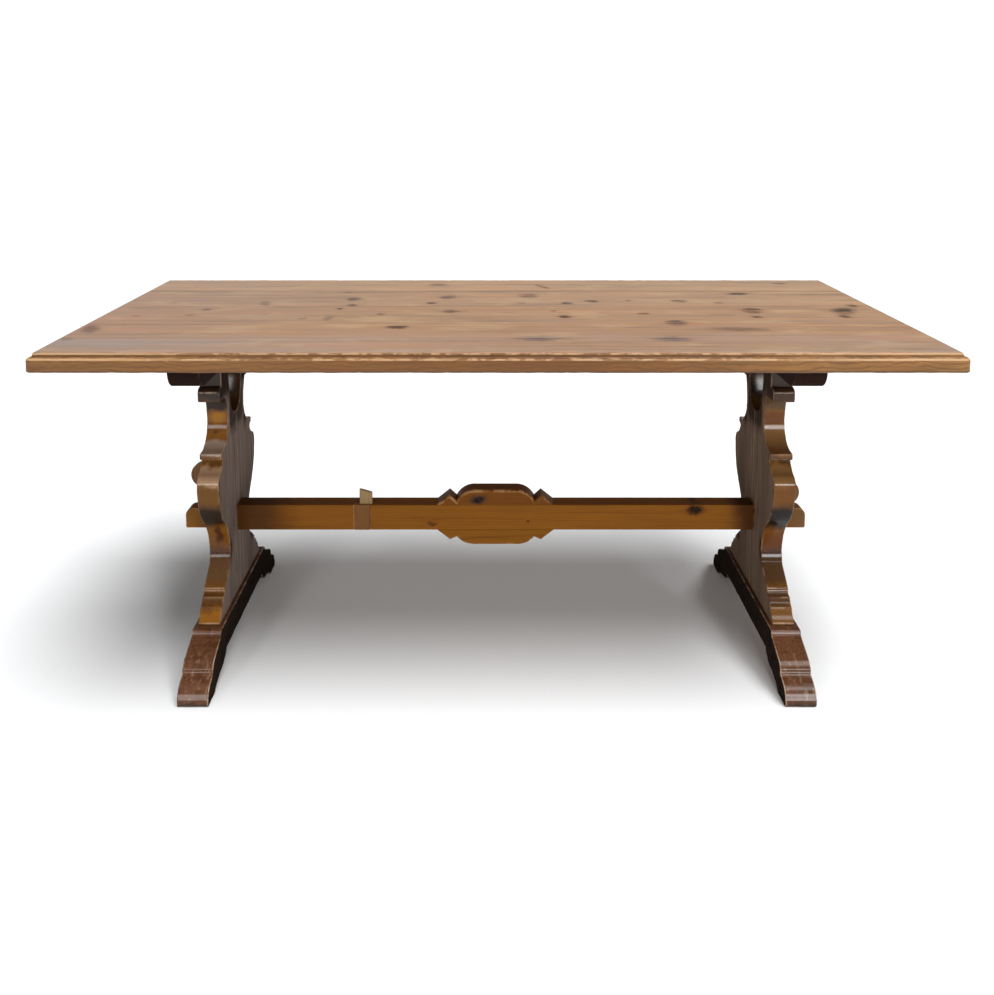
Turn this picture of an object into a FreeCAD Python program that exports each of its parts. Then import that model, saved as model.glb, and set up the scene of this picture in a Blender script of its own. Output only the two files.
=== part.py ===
import FreeCAD
import Part
import os

# Farmhouse trestle table, in millimetres.
# The origin is on the floor at the middle of the table, X runs along the length, Y to the back, Z up.
# Two scroll-sawn trestles stand on sledge feet and carry the plank top through a bearer each.
# A stretcher ties the trestles: its shouldered tenons pass through them and are locked by tusk keys.

# Whole table
table_height = 775.0
top_length = 1800.0
top_width = 900.0
top_thickness = 38.0

# Plank top: places of the board joints across the width, from the front edge to the back edge
board_joint_shares = (0.0, 0.158, 0.315, 0.548, 0.782, 1.0)
tongue_thickness = 8.0
tongue_width = 24.0
tongue_end_inset = 70.0
tongue_height_share = 0.55
groove_play = 1.0

# Moulding worked round all four edges of the top
bead_radius = 5.0
bead_step = 3.0
cove_radius = 2.0
ledge_width = 4.0
shoulder_radius = 6.0
lower_edge_radius = 3.0

# Bearers under the top
bearer_width = 66.0
bearer_thickness = 65.0
bearer_half_length = 332.0
bearer_end_radius = 40.0
screw_place_shares = (-0.86, -0.60, 0.60, 0.86)
screw_diameter = 5.0
screw_head_diameter = 10.0
screw_head_thickness = 3.0
screw_bite_share = 0.38
screw_well_diameter = 14.0
screw_well_depth = 40.0
screw_gap = 0.2

# Trestles, each of two boards edge to edge
trestle_end_inset = 267.5
trestle_thickness = 49.0
trestle_half_width = 180.0

# Outline of a trestle board from its toe up to the bearer.
# Shares of the half width and of the height between foot and bearer; a pair of points makes an arc.
trestle_start_share = (1.133, 0.0)
trestle_edge_shares = (
    ((1.133, 0.009),),
    ((1.064, 0.029), (1.014, 0.054)),
    ((0.961, 0.065), (0.922, 0.084)),
    ((0.844, 0.087),),
    ((0.836, 0.109),),
    ((0.556, 0.170),),
    ((0.511, 0.209),),
    ((0.571, 0.295), (0.740, 0.363)),
    ((0.932, 0.441), (1.000, 0.538)),
    ((0.978, 0.563), (0.911, 0.580)),
    ((0.811, 0.596), (0.744, 0.619)),
    ((0.750, 0.629),),
    ((0.822, 0.632),),
    ((0.822, 0.657),),
    ((0.717, 0.661),),
    ((0.522, 0.690), (0.433, 0.750)),
    ((0.453, 0.809), (0.528, 0.863)),
    ((0.800, 0.863),),
    ((0.820, 0.866), (0.828, 0.874)),
    ((0.828, 0.904),),
    ((0.789, 0.916), (0.711, 0.921)),
    ((0.711, 1.000),),
)

# Pointed cut-out at the head of the trestle, in the same shares, from its top down to its point
notch_edge_shares = (
    ((0.350, 1.000),),
    ((0.322, 0.882), (0.256, 0.803)),
    ((0.144, 0.769), (0.0, 0.757)),
)

# Tenons of the trestle boards, in their length, width and place from the middle
tenon_thickness = 18.0
foot_tenon_length = 48.0
foot_tenon_width = 100.0
foot_tenon_inset = 35.0
head_tenon_length = 45.0
head_tenon_width = 42.0
head_tenon_inset = 74.0
mortise_play = 2.0
cheek_gap = 0.1

# Sledge feet
foot_width = 66.0
foot_height = 107.0
foot_half_length = 349.0

# Outline of half a foot from the middle of its top, over the toe and back under the arch.
# Shares of the half length and of the height; a pair of points makes an arc.
foot_start_share = (0.0, 1.0)
foot_edge_shares = (
    ((0.628, 1.0),),
    ((0.642, 0.984), (0.648, 0.949)),
    ((0.653, 0.900),),
    ((0.820, 0.688),),
    ((0.853, 0.608), (0.869, 0.523)),
    ((0.871, 0.458),),
    ((0.917, 0.407),),
    ((0.964, 0.318), (0.991, 0.178)),
    ((1.0, 0.089), (0.991, 0.0)),
    ((0.837, 0.0),),
    ((0.751, 0.140), (0.653, 0.206)),
    ((0.573, 0.285), (0.527, 0.430)),
    ((0.0, 0.430),),
)

# Stretcher
stretcher_height = 61.0
stretcher_thickness = 50.0
stretcher_floor_gap = 253.0
stretcher_arris = 2.0
stretcher_tenon_thickness = 40.0
tenon_top_shoulder = 10.0
tenon_lower_shoulder = 3.0
tenon_projection = 73.0
tenon_end_radius = 18.0
tenon_lower_end_radius = 4.0
knock_down_gap = 0.3

# Cartouche at the middle of the stretcher: a crest above and a pendant below
cartouche_half_length = 138.0
crest_height = 36.0
pendant_depth = 36.0
crest_edge_shares = (
    ((0.783, 0.680),),
    ((0.667, 0.270),),
    ((0.540, 0.800), (0.377, 1.0)),
)
pendant_edge_shares = (
    ((0.775, 0.680),),
    ((0.659, 0.480),),
    ((0.540, 0.850), (0.362, 1.0)),
)

# Tusk keys; the head of each stands its own height above the tenon
key_head_radius = 30.0
key_thickness = 18.0
key_length = 150.0
key_top_width = 40.0
key_point_width = 18.0
key_gap = 0.3
left_key_stand = 47.0
right_key_stand = 4.0
key_mortise_relief = 3.0

# Old repair on the front of the stretcher
patch_centre = -313.5
patch_width = 37.0
patch_depth = 6.0
wedge_centre = -305.0
wedge_width = 30.0
wedge_thickness = 10.0
wedge_root = 22.0
wedge_rise = 37.0
wedge_slope = 9.0

# Past every face that a cutter goes through
overrun = 5.0

# Levels and places that follow from the sizes above
top_underside = table_height - top_thickness
bearer_underside = top_underside - bearer_thickness
trestle_height = bearer_underside - foot_height
trestle_centre = top_length / 2 - trestle_end_inset
trestle_inner_face = trestle_centre - trestle_thickness / 2
trestle_outer_face = trestle_centre + trestle_thickness / 2
stretcher_top = stretcher_floor_gap + stretcher_height
tenon_top = stretcher_top - tenon_top_shoulder
tenon_bottom = stretcher_floor_gap + tenon_lower_shoulder
tenon_end = trestle_outer_face + tenon_projection
left_key_level = tenon_top + left_key_stand + key_head_radius
right_key_level = tenon_top + right_key_stand + key_head_radius
tongue_level = top_underside + top_thickness * tongue_height_share

sides = {"left": -1, "right": 1}
ends = {"front": -1, "back": 1}


def write(shape, node):
    """Write one piece to its own STEP file."""
    shape.exportStep("parts/" + node + ".step")


def block(x_range, y_range, z_range):
    """A box between the lower and upper limit of each range, whichever way round they are given."""
    low = FreeCAD.Vector(min(x_range), min(y_range), min(z_range))
    high = FreeCAD.Vector(max(x_range), max(y_range), max(z_range))
    size = high - low
    return Part.makeBox(size.x, size.y, size.z, low)


def about(centre, size):
    """The two ends of a length that is centred on a place."""
    return (centre - size / 2, centre + size / 2)


def across(along_x):
    """A function that sets an outline point (y, z) in the plane at along_x."""
    return lambda point: FreeCAD.Vector(along_x, point[0], point[1])


def lengthwise(along_y):
    """A function that sets an outline point (x, z) in the plane at along_y."""
    return lambda point: FreeCAD.Vector(point[0], along_y, point[1])


def prism(start, steps, to_space, reach):
    """Solid of a closed outline; a step of one point is a straight run, one of two points an arc."""
    edges = []
    here = start
    for step in steps:
        if len(step) == 1:
            edges.append(Part.LineSegment(to_space(here), to_space(step[0])).toShape())
        else:
            edges.append(Part.Arc(to_space(here), to_space(step[0]), to_space(step[1])).toShape())
        here = step[-1]
    if (to_space(here) - to_space(start)).Length > 0:
        edges.append(Part.LineSegment(to_space(here), to_space(start)).toShape())
    return Part.Face(Part.Wire(edges)).extrude(reach)


def scaled(shares, place):
    """Steps of an outline in millimetres, from steps in shares."""
    return [tuple(place(share) for share in step) for step in shares]


def quarter_round(corner, inward, radius):
    """Middle point of the arc that rounds a square corner, whose sides run inward from it."""
    reach = radius * (1 - 0.5 ** 0.5)
    return (corner[0] + inward[0] * reach, corner[1] + inward[1] * reach)


def soften(solid, radius, chosen):
    """Round the edges of a solid that the test named chosen picks."""
    return solid.makeFillet(radius, [edge for edge in solid.Edges if chosen(edge)])


def joined(pieces):
    """One solid of several that touch or cross, with no seam left on flat faces."""
    return pieces[0].fuse(pieces[1:]).removeSplitter().Solids[0]


def both_halves(half):
    """A half joined with its copy, turned half round the middle of the table."""
    turned = half.copy()
    turned.rotate(FreeCAD.Vector(0, 0, 0), FreeCAD.Vector(0, 0, 1), 180)
    return joined([half, turned])


# Plank top


def moulded_edge(half_size):
    """Half outline of the moulded top, from the middle of its underside round the edge to the top."""
    inset = bead_radius + cove_radius + ledge_width + shoulder_radius
    quirk = table_height - bead_radius - bead_step
    ledge = quirk - cove_radius
    bead_face = half_size - inset + bead_radius
    lower_arc = quarter_round((half_size, top_underside), (-1, 1), lower_edge_radius)
    shoulder_arc = quarter_round((half_size, ledge), (-1, -1), shoulder_radius)
    cove_arc = quarter_round((bead_face, ledge), (1, 1), cove_radius)
    bead_arc = quarter_round((bead_face, table_height), (-1, -1), bead_radius)
    return [
        ((half_size - lower_edge_radius, top_underside),),
        (lower_arc, (half_size, top_underside + lower_edge_radius)),
        ((half_size, ledge - shoulder_radius),),
        (shoulder_arc, (half_size - shoulder_radius, ledge)),
        ((bead_face + cove_radius, ledge),),
        (cove_arc, (bead_face, quirk)),
        ((bead_face, quirk + bead_step),),
        (bead_arc, (bead_face - bead_radius, table_height)),
        ((0.0, table_height),),
    ]


def moulded_slab():
    """The whole top: the moulding along each pair of edges, mitred where the two prisms cross."""
    middle = (0.0, top_underside)
    slab = None
    for half_size, plane, reach in (
        (top_width / 2, across(-top_length / 2), FreeCAD.Vector(top_length, 0, 0)),
        (top_length / 2, lengthwise(-top_width / 2), FreeCAD.Vector(0, top_width, 0)),
    ):
        both = both_halves(prism(middle, moulded_edge(half_size), plane, reach))
        slab = both if slab is None else slab.common(both)
    return slab


def joint_places():
    """Places of the board joints along Y, with the front and back edges of the top."""
    return [top_width * (share - 0.5) for share in board_joint_shares]


def tongue(joint, width):
    """Loose tongue, or the groove for it, across one board joint."""
    half_run = top_length / 2 - tongue_end_inset
    return block(
        (-half_run, half_run),
        about(joint, width),
        about(tongue_level, tongue_thickness),
    )


def screw_places():
    """Places in X and Y of the screws that hold the top to the bearers."""
    return [
        (side * trestle_centre, share * bearer_half_length)
        for side in sides.values()
        for share in screw_place_shares
    ]


def upright(x, y, z_range, diameter):
    """A vertical cylinder about a place."""
    return Part.makeCylinder(diameter / 2, z_range[1] - z_range[0], FreeCAD.Vector(x, y, z_range[0]))


def screw_bite():
    """Height that the screws reach inside the top."""
    return top_underside + top_thickness * screw_bite_share


def make_top():
    """Write the boards of the top and the tongues between them."""
    slab = moulded_slab()
    places = joint_places()
    inner_joints = places[1:-1]
    grooves = [tongue(joint, tongue_width + 2 * groove_play) for joint in inner_joints]
    pilots = [
        upright(x, y, (top_underside - overrun, screw_bite() + screw_gap), screw_diameter + 2 * screw_gap)
        for x, y in screw_places()
    ]
    half_length = top_length / 2
    for number, joint in enumerate(places[:-1], start=1):
        strip = block((-half_length, half_length), (joint, places[number]), (top_underside, table_height))
        board = slab.common(strip).cut(grooves + pilots)
        write(board.Solids[0], "top_board_" + str(number))
    for number, joint in enumerate(inner_joints, start=1):
        write(tongue(joint, tongue_width), "top_tongue_" + str(number))


# Bearers and the screws through them


def make_screws():
    """Write the eight screws that pull the bearers to the top."""
    seat = bearer_underside + screw_well_depth
    screws = []
    for x, y in screw_places():
        head = upright(x, y, (seat - screw_head_thickness, seat), screw_head_diameter)
        shank = upright(x, y, (seat, screw_bite()), screw_diameter)
        screws.append(joined([head, shank]))
    write(Part.makeCompound(screws), "top_screws")


def tenon(side, y_range, z_range, gap):
    """A tenon of a trestle board, or with a gap the mortise for it."""
    return block(
        about(side * trestle_centre, tenon_thickness + 2 * gap),
        (min(y_range) - gap, max(y_range) + gap),
        z_range,
    )


def head_tenon_span(end):
    """Limits along Y of the tenon at the head of the front or back trestle board."""
    return (end * head_tenon_inset, end * (head_tenon_inset + head_tenon_width))


def foot_tenon_span(end):
    """Limits along Y of the tenon at the foot of the front or back trestle board."""
    return (end * foot_tenon_inset, end * (foot_tenon_inset + foot_tenon_width))


def make_bearer(name, side):
    """Write one bearer: ends rounded below, mortised for the trestle, bored for the screws."""
    bar = block(
        about(side * trestle_centre, bearer_width),
        (-bearer_half_length, bearer_half_length),
        (bearer_underside, top_underside),
    )

    def lower_end(edge):
        return edge.BoundBox.XLength > bearer_width / 2 and edge.BoundBox.ZMax < top_underside

    bar = soften(bar, bearer_end_radius, lower_end)
    cuts = []
    for end in ends.values():
        depth = bearer_underside + head_tenon_length + mortise_play
        cuts.append(tenon(side, head_tenon_span(end), (bearer_underside - overrun, depth), cheek_gap))
    seat = bearer_underside + screw_well_depth
    for x, y in screw_places():
        if x * side > 0:
            cuts.append(upright(x, y, (bearer_underside - overrun, seat), screw_well_diameter))
            cuts.append(upright(x, y, (seat, top_underside + overrun), screw_diameter + 2 * screw_gap))
    write(bar.cut(cuts).Solids[0], "bearer_" + name)


# Trestles


def trestle_place(end):
    """A function that turns shares of the trestle outline into (y, z)."""
    return lambda share: (
        end * trestle_half_width * share[0],
        foot_height + trestle_height * share[1],
    )


def make_trestle_board(name, side, end_name, end):
    """Write one scroll-sawn half of a trestle with its two tenons and half of the stretcher mortise."""
    place = trestle_place(end)
    start = (0.0, foot_height)
    toe = (place(trestle_start_share),)
    inner = side * trestle_inner_face
    steps = [toe] + scaled(trestle_edge_shares, place) + scaled(notch_edge_shares, place)
    board = prism(start, steps, across(inner), FreeCAD.Vector(side * trestle_thickness, 0, 0))
    foot_run = (foot_height - foot_tenon_length, foot_height)
    head_run = (bearer_underside, bearer_underside + head_tenon_length)
    board = joined([
        board,
        tenon(side, foot_tenon_span(end), foot_run, 0),
        tenon(side, head_tenon_span(end), head_run, 0),
    ])
    mortise = block(
        (side * (trestle_inner_face - overrun), side * (trestle_outer_face + overrun)),
        about(0, stretcher_tenon_thickness + 2 * knock_down_gap),
        (tenon_bottom - knock_down_gap, tenon_top + knock_down_gap),
    )
    write(board.cut(mortise).Solids[0], "trestle_" + name + "_" + end_name)


# Feet


def foot_place(end):
    """A function that turns shares of the foot outline into (y, z)."""
    return lambda share: (end * foot_half_length * share[0], foot_height * share[1])


def make_foot(name, side):
    """Write one sledge foot: stepped toes, scrolled arch, mortises for the trestle boards."""
    inner = across(side * trestle_centre - foot_width / 2)
    reach = FreeCAD.Vector(foot_width, 0, 0)
    halves = []
    for end in ends.values():
        place = foot_place(end)
        halves.append(prism(place(foot_start_share), scaled(foot_edge_shares, place), inner, reach))
    foot = joined(halves)
    mortises = [
        tenon(
            side,
            foot_tenon_span(end),
            (foot_height - foot_tenon_length - mortise_play, foot_height + overrun),
            cheek_gap,
        )
        for end in ends.values()
    ]
    write(foot.cut(mortises).Solids[0], "foot_" + name)


# Stretcher, its cartouche and the old repair


def key_outer_width(drop):
    """Width of a key at a drop below the middle of its head."""
    return key_top_width + (key_point_width - key_top_width) * drop / key_length


def key_mortise(side, head_level):
    """Tapered mortise for a tusk key through the projecting tenon."""
    low = tenon_bottom - overrun
    high = tenon_top + overrun
    inner = side * (trestle_outer_face - key_mortise_relief)
    outer = [
        side * (trestle_outer_face + 2 * key_gap + key_outer_width(head_level - level))
        for level in (low, high)
    ]
    half = key_thickness / 2 + key_gap
    corners = [((outer[0], low),), ((outer[1], high),), ((inner, high),)]
    return prism((inner, low), corners, lengthwise(-half), FreeCAD.Vector(0, 2 * half, 0))


def tenon_block(side):
    """One through tenon with its big rounded upper corner and small rounded lower corner."""
    half = stretcher_tenon_thickness / 2
    upper = tenon_end_radius
    lower = tenon_lower_end_radius
    root = side * (trestle_inner_face - overrun)
    tip = side * tenon_end
    steps = [
        ((tip - side * lower, tenon_bottom),),
        (quarter_round((tip, tenon_bottom), (-side, 1), lower), (tip, tenon_bottom + lower)),
        ((tip, tenon_top - upper),),
        (quarter_round((tip, tenon_top), (-side, -1), upper), (tip - side * upper, tenon_top)),
        ((root, tenon_top),),
    ]
    return prism((root, tenon_bottom), steps, lengthwise(-half), FreeCAD.Vector(0, 2 * half, 0))


def patch_block():
    """Thin patch let into the front face of the stretcher."""
    front = -stretcher_thickness / 2
    return block(
        about(patch_centre, patch_width),
        (front, front + patch_depth),
        (stretcher_floor_gap, stretcher_top),
    )


def wedge_block():
    """Wedge driven in behind the patch, its slanted head standing proud of the stretcher."""
    front = patch_depth - stretcher_thickness / 2
    left, right = about(wedge_centre, wedge_width)
    crown = stretcher_top + wedge_rise
    root = stretcher_top - wedge_root
    corners = [((right, root),), ((right, crown - wedge_slope),), ((left, crown),)]
    return prism((left, root), corners, lengthwise(front), FreeCAD.Vector(0, wedge_thickness, 0))


def make_stretcher():
    """Write the stretcher with its tenons, key mortises and the housing of the repair."""
    beam = block(
        (-trestle_inner_face, trestle_inner_face),
        about(0, stretcher_thickness),
        (stretcher_floor_gap, stretcher_top),
    )

    def long_edge(edge):
        return edge.BoundBox.XLength > trestle_inner_face

    beam = soften(beam, stretcher_arris, long_edge)
    beam = joined([beam] + [tenon_block(side) for side in sides.values()])
    cuts = [
        key_mortise(sides["left"], left_key_level),
        key_mortise(sides["right"], right_key_level),
        patch_block(),
        wedge_block(),
    ]
    write(beam.cut(cuts).Solids[0], "stretcher")
    write(patch_block(), "stretcher_patch")
    write(wedge_block(), "stretcher_wedge")


def cartouche_piece(shares, base, rise):
    """Crest or pendant, flush with both faces of the stretcher."""

    def place(share):
        return (cartouche_half_length * share[0], base + rise * share[1])

    steps = [(place((1, 0)),)] + scaled(shares, place) + [(place((0, 1)),)]
    front = lengthwise(-stretcher_thickness / 2)
    return both_halves(prism(place((0, 0)), steps, front, FreeCAD.Vector(0, stretcher_thickness, 0)))


def make_cartouche():
    """Write the crest glued on the stretcher and the pendant glued under it."""
    write(cartouche_piece(crest_edge_shares, stretcher_top, crest_height), "stretcher_crest")
    write(cartouche_piece(pendant_edge_shares, stretcher_floor_gap, -pendant_depth), "stretcher_pendant")


# Tusk keys


def make_key(name, side, head_level):
    """Write one key: a round head on a shaft that tapers on its outer side only."""
    inner = trestle_outer_face + key_gap
    front = -key_thickness / 2
    centre = FreeCAD.Vector(side * (inner + key_head_radius), front, head_level)
    head = Part.makeCylinder(key_head_radius, key_thickness, centre, FreeCAD.Vector(0, 1, 0))
    point = head_level - key_length
    corners = [
        ((side * (inner + key_top_width), head_level),),
        ((side * (inner + key_point_width), point),),
        ((side * inner, point),),
    ]
    reach = FreeCAD.Vector(0, key_thickness, 0)
    shaft = prism((side * inner, head_level), corners, lengthwise(front), reach)
    write(joined([head, shaft]), "key_" + name)


os.makedirs("parts", exist_ok=True)
make_top()
make_screws()
make_stretcher()
make_cartouche()
for side_name, side_sign in sides.items():
    make_bearer(side_name, side_sign)
    make_foot(side_name, side_sign)
    for end_name, end_sign in ends.items():
        make_trestle_board(side_name, side_sign, end_name, end_sign)
make_key("left", sides["left"], left_key_level)
make_key("right", sides["right"], right_key_level)
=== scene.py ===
"""Dresses a farmhouse trestle table: eased and worn pine round a fixed frame, in a pale studio.

Every piece but the tongues and the screws is a copy of its node in the frame, with eased arrises and small
dents. The tongues and the screws keep their nodes. Each finish is procedural and reads the piece's own place
in the table. Lengths are in metres.
"""

import logging
import math
from collections.abc import Callable
from dataclasses import dataclass, field, fields, replace
from enum import Enum
from functools import cached_property

import bmesh
import bpy
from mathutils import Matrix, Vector, noise


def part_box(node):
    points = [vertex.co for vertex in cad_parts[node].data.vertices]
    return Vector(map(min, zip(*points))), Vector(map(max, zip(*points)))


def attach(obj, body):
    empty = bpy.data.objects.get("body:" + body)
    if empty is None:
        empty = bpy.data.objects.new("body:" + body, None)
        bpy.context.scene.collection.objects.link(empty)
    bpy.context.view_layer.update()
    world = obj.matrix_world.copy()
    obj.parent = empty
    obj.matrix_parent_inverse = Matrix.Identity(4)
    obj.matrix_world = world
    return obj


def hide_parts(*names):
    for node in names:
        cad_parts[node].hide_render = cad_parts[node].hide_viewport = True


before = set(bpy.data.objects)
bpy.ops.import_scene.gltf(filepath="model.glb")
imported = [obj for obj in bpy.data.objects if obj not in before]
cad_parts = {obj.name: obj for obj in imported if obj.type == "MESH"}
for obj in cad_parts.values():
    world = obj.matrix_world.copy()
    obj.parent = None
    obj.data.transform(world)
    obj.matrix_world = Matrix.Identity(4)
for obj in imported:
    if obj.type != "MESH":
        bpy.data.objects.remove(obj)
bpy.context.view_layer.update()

log = logging.getLogger("farmhouse table")

Colour = tuple[float, float, float]
Place = tuple[float, float, float]
Span = tuple[float, float]
Socket = bpy.types.NodeSocket
EdgeTest = Callable[[bmesh.types.BMEdge], bool]

# Limits within which places, angles and facings count as the same

MERGE_REACH = 1e-5
SAME_PLACE = 2e-5
FLAT_ANGLE = math.radians(0.6)
SHARP_ANGLE = math.radians(27)
SMOOTH_ANGLE = math.radians(38)
FLANK_FACING = 0.95
WEAR_LAYER = "wear"

# Values of the noise between which each part of the figure goes from hidden to full

CLOUD_RISE = (0.35, 0.70)
FIBRE_RISE = (0.42, 0.72)
STREAK_RISE = (0.48, 0.70)
SEASON_RISE = (0.45, 1.0)
VIGOUR_RISE = (0.36, 0.66)

# How far rings drift from a true circle, how many clouds of strong and weak years there are to a metre

RING_DRIFT = 0.034
VIGOUR_SCALE = 90.0

# Distances from the middle of a knot or a patch, in half widths, at which each begins and is full; the
# patches are stained wood and painted light and shade

KNOT_CORE = (1.45, 0.35)
KNOT_HALO = (1.20, 0.25)
KNOT_BULGE = (3.4, 0.2)
STAIN_AND_LIGHT_EDGE = (1.25, 0.45)

# Waves to a metre in an uneven outline, mostly with how far they stray, there and back

KNOT_WAVES = 55.0
STAIN_AND_LIGHT_BEND = (26.0, 0.034)
HAZE_BEND = (5.0, 0.10)
FIGURE_BEND = (15.0, 0.050)
RUBBED_HIGHLIGHT_BEND = (60.0, 0.0016)
HEIGHT_BEND = (30.0, 0.05)

# Roughness: smears to a metre, how far they change it, and how far a latewood line does

SMEAR_SCALE = 7.0
SMEAR_CHANGE = 0.22
LINE_CHANGE = -0.05

# Relief: share of lines, fibres and dents in it, and its depth

LINE_RELIEF = 0.55
FIBRE_RELIEF = 0.5
DENT_RELIEF = -1.2
RELIEF_DEPTH = 0.0004


class Grain(Enum):
    """The way that the grain of a piece runs, as the index of its axis."""

    LENGTH = 0
    DEPTH = 1
    HEIGHT = 2

    def scaled(self, along: float, across: float) -> Place:
        """Give a scale vector with one value along the grain and another across it."""
        return tuple(along if axis == self.value else across for axis in range(3))


class KnotTone(Enum):
    """How dark a knot is, as the strength of its brown and of its blue grey."""

    DARK = (1.05, 0.60)
    BROWN = (0.90, 0.10)
    BLUE = (0.50, 1.05)
    FAINT = (0.40, 0.40)


@dataclass(frozen=True)
class Knot:
    """A knot on the face of a board.

    Attributes:
        place: Its middle in the table's frame.
        size: Its whole width along the two axes of the face.
        turn: Tilt on the face, in degrees.
        tone: How dark it is.
        through: Axis along which it runs through the wood.
    """

    place: Place
    size: Span
    turn: float = 0.0
    tone: KnotTone = KnotTone.BROWN
    through: Grain = Grain.HEIGHT


@dataclass(frozen=True)
class Stain:
    """A soft patch of another colour; some are stained wood, others painted light and painted shade.

    Attributes:
        place: Its middle in the table's frame.
        size: Its whole width along each axis.
        colour: Its colour.
        strength: How much of it shows, from 0 to 1.
    """

    place: Place
    size: Place
    colour: Colour
    strength: float


@dataclass(frozen=True)
class Layer:
    """Patches that show where a cloud of noise is strong, or weak.

    Attributes:
        scale: How many clouds there are to a metre, along each axis where they differ.
        detail: How many finer layers the noise has.
        roughness: How strong the finer layers are.
        rise: Values of the noise at which the patches begin and are full.
        strength: How much of them shows where they are full.
    """

    scale: float | Place
    detail: float
    roughness: float
    rise: Span
    strength: float = 1.0


@dataclass(frozen=True)
class GrainNoise:
    """Noise drawn out along the grain.

    Attributes:
        along: How many clouds there are to a metre along the grain.
        across: How many there are across it.
        detail: How many finer layers it has.
        roughness: How strong the finer layers are.
    """

    along: float
    across: float
    detail: float = 2.0
    roughness: float = 0.5


DRIFT = GrainNoise(1.3, 7.0)
FIBRE = GrainNoise(9.0, 620.0, 3.0, 0.6)
STREAK = GrainNoise(5.0, 130.0, 4.0, 0.62)
CLOUD = GrainNoise(1.6, 6.5, 3.0, 0.55)

KNOT_MOTTLE = Layer(210.0, 3.0, 0.5, (0.34, 0.62), 0.30)
RUBBED_PATCHES = Layer(34.0, 4.0, 0.65, (0.40, 0.64))
DENTED_PATCHES = Layer(60.0, 2.0, 0.5, (0.66, 0.76))
MOULDING_FIBRES = Layer((14.0, 300.0, 900.0), 3.0, 0.5, (0.40, 0.66), 0.34)
QUIRK_DIRT_AND_SHADE = Layer((22.0, 22.0, 160.0), 4.0, 0.5, (0.42, 0.62), 0.34)
MOULDING_CHIPS = Layer((52.0, 52.0, 90.0), 6.0, 0.5, (0.42, 0.58), 0.65)
FOOT_BLOTCHES = Layer(38.0, 5.0, 0.65, (0.50, 0.62), 0.60)
FOOT_SCRATCHES = Layer((110.0, 60.0, 60.0), 5.0, 0.5, (0.55, 0.68))
FOOT_SPECKS = Layer(240.0, 4.0, 0.7, (0.58, 0.70))
STEEL_TARNISH = Layer(420.0, 4.0, 0.5, (0.42, 0.66))


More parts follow.
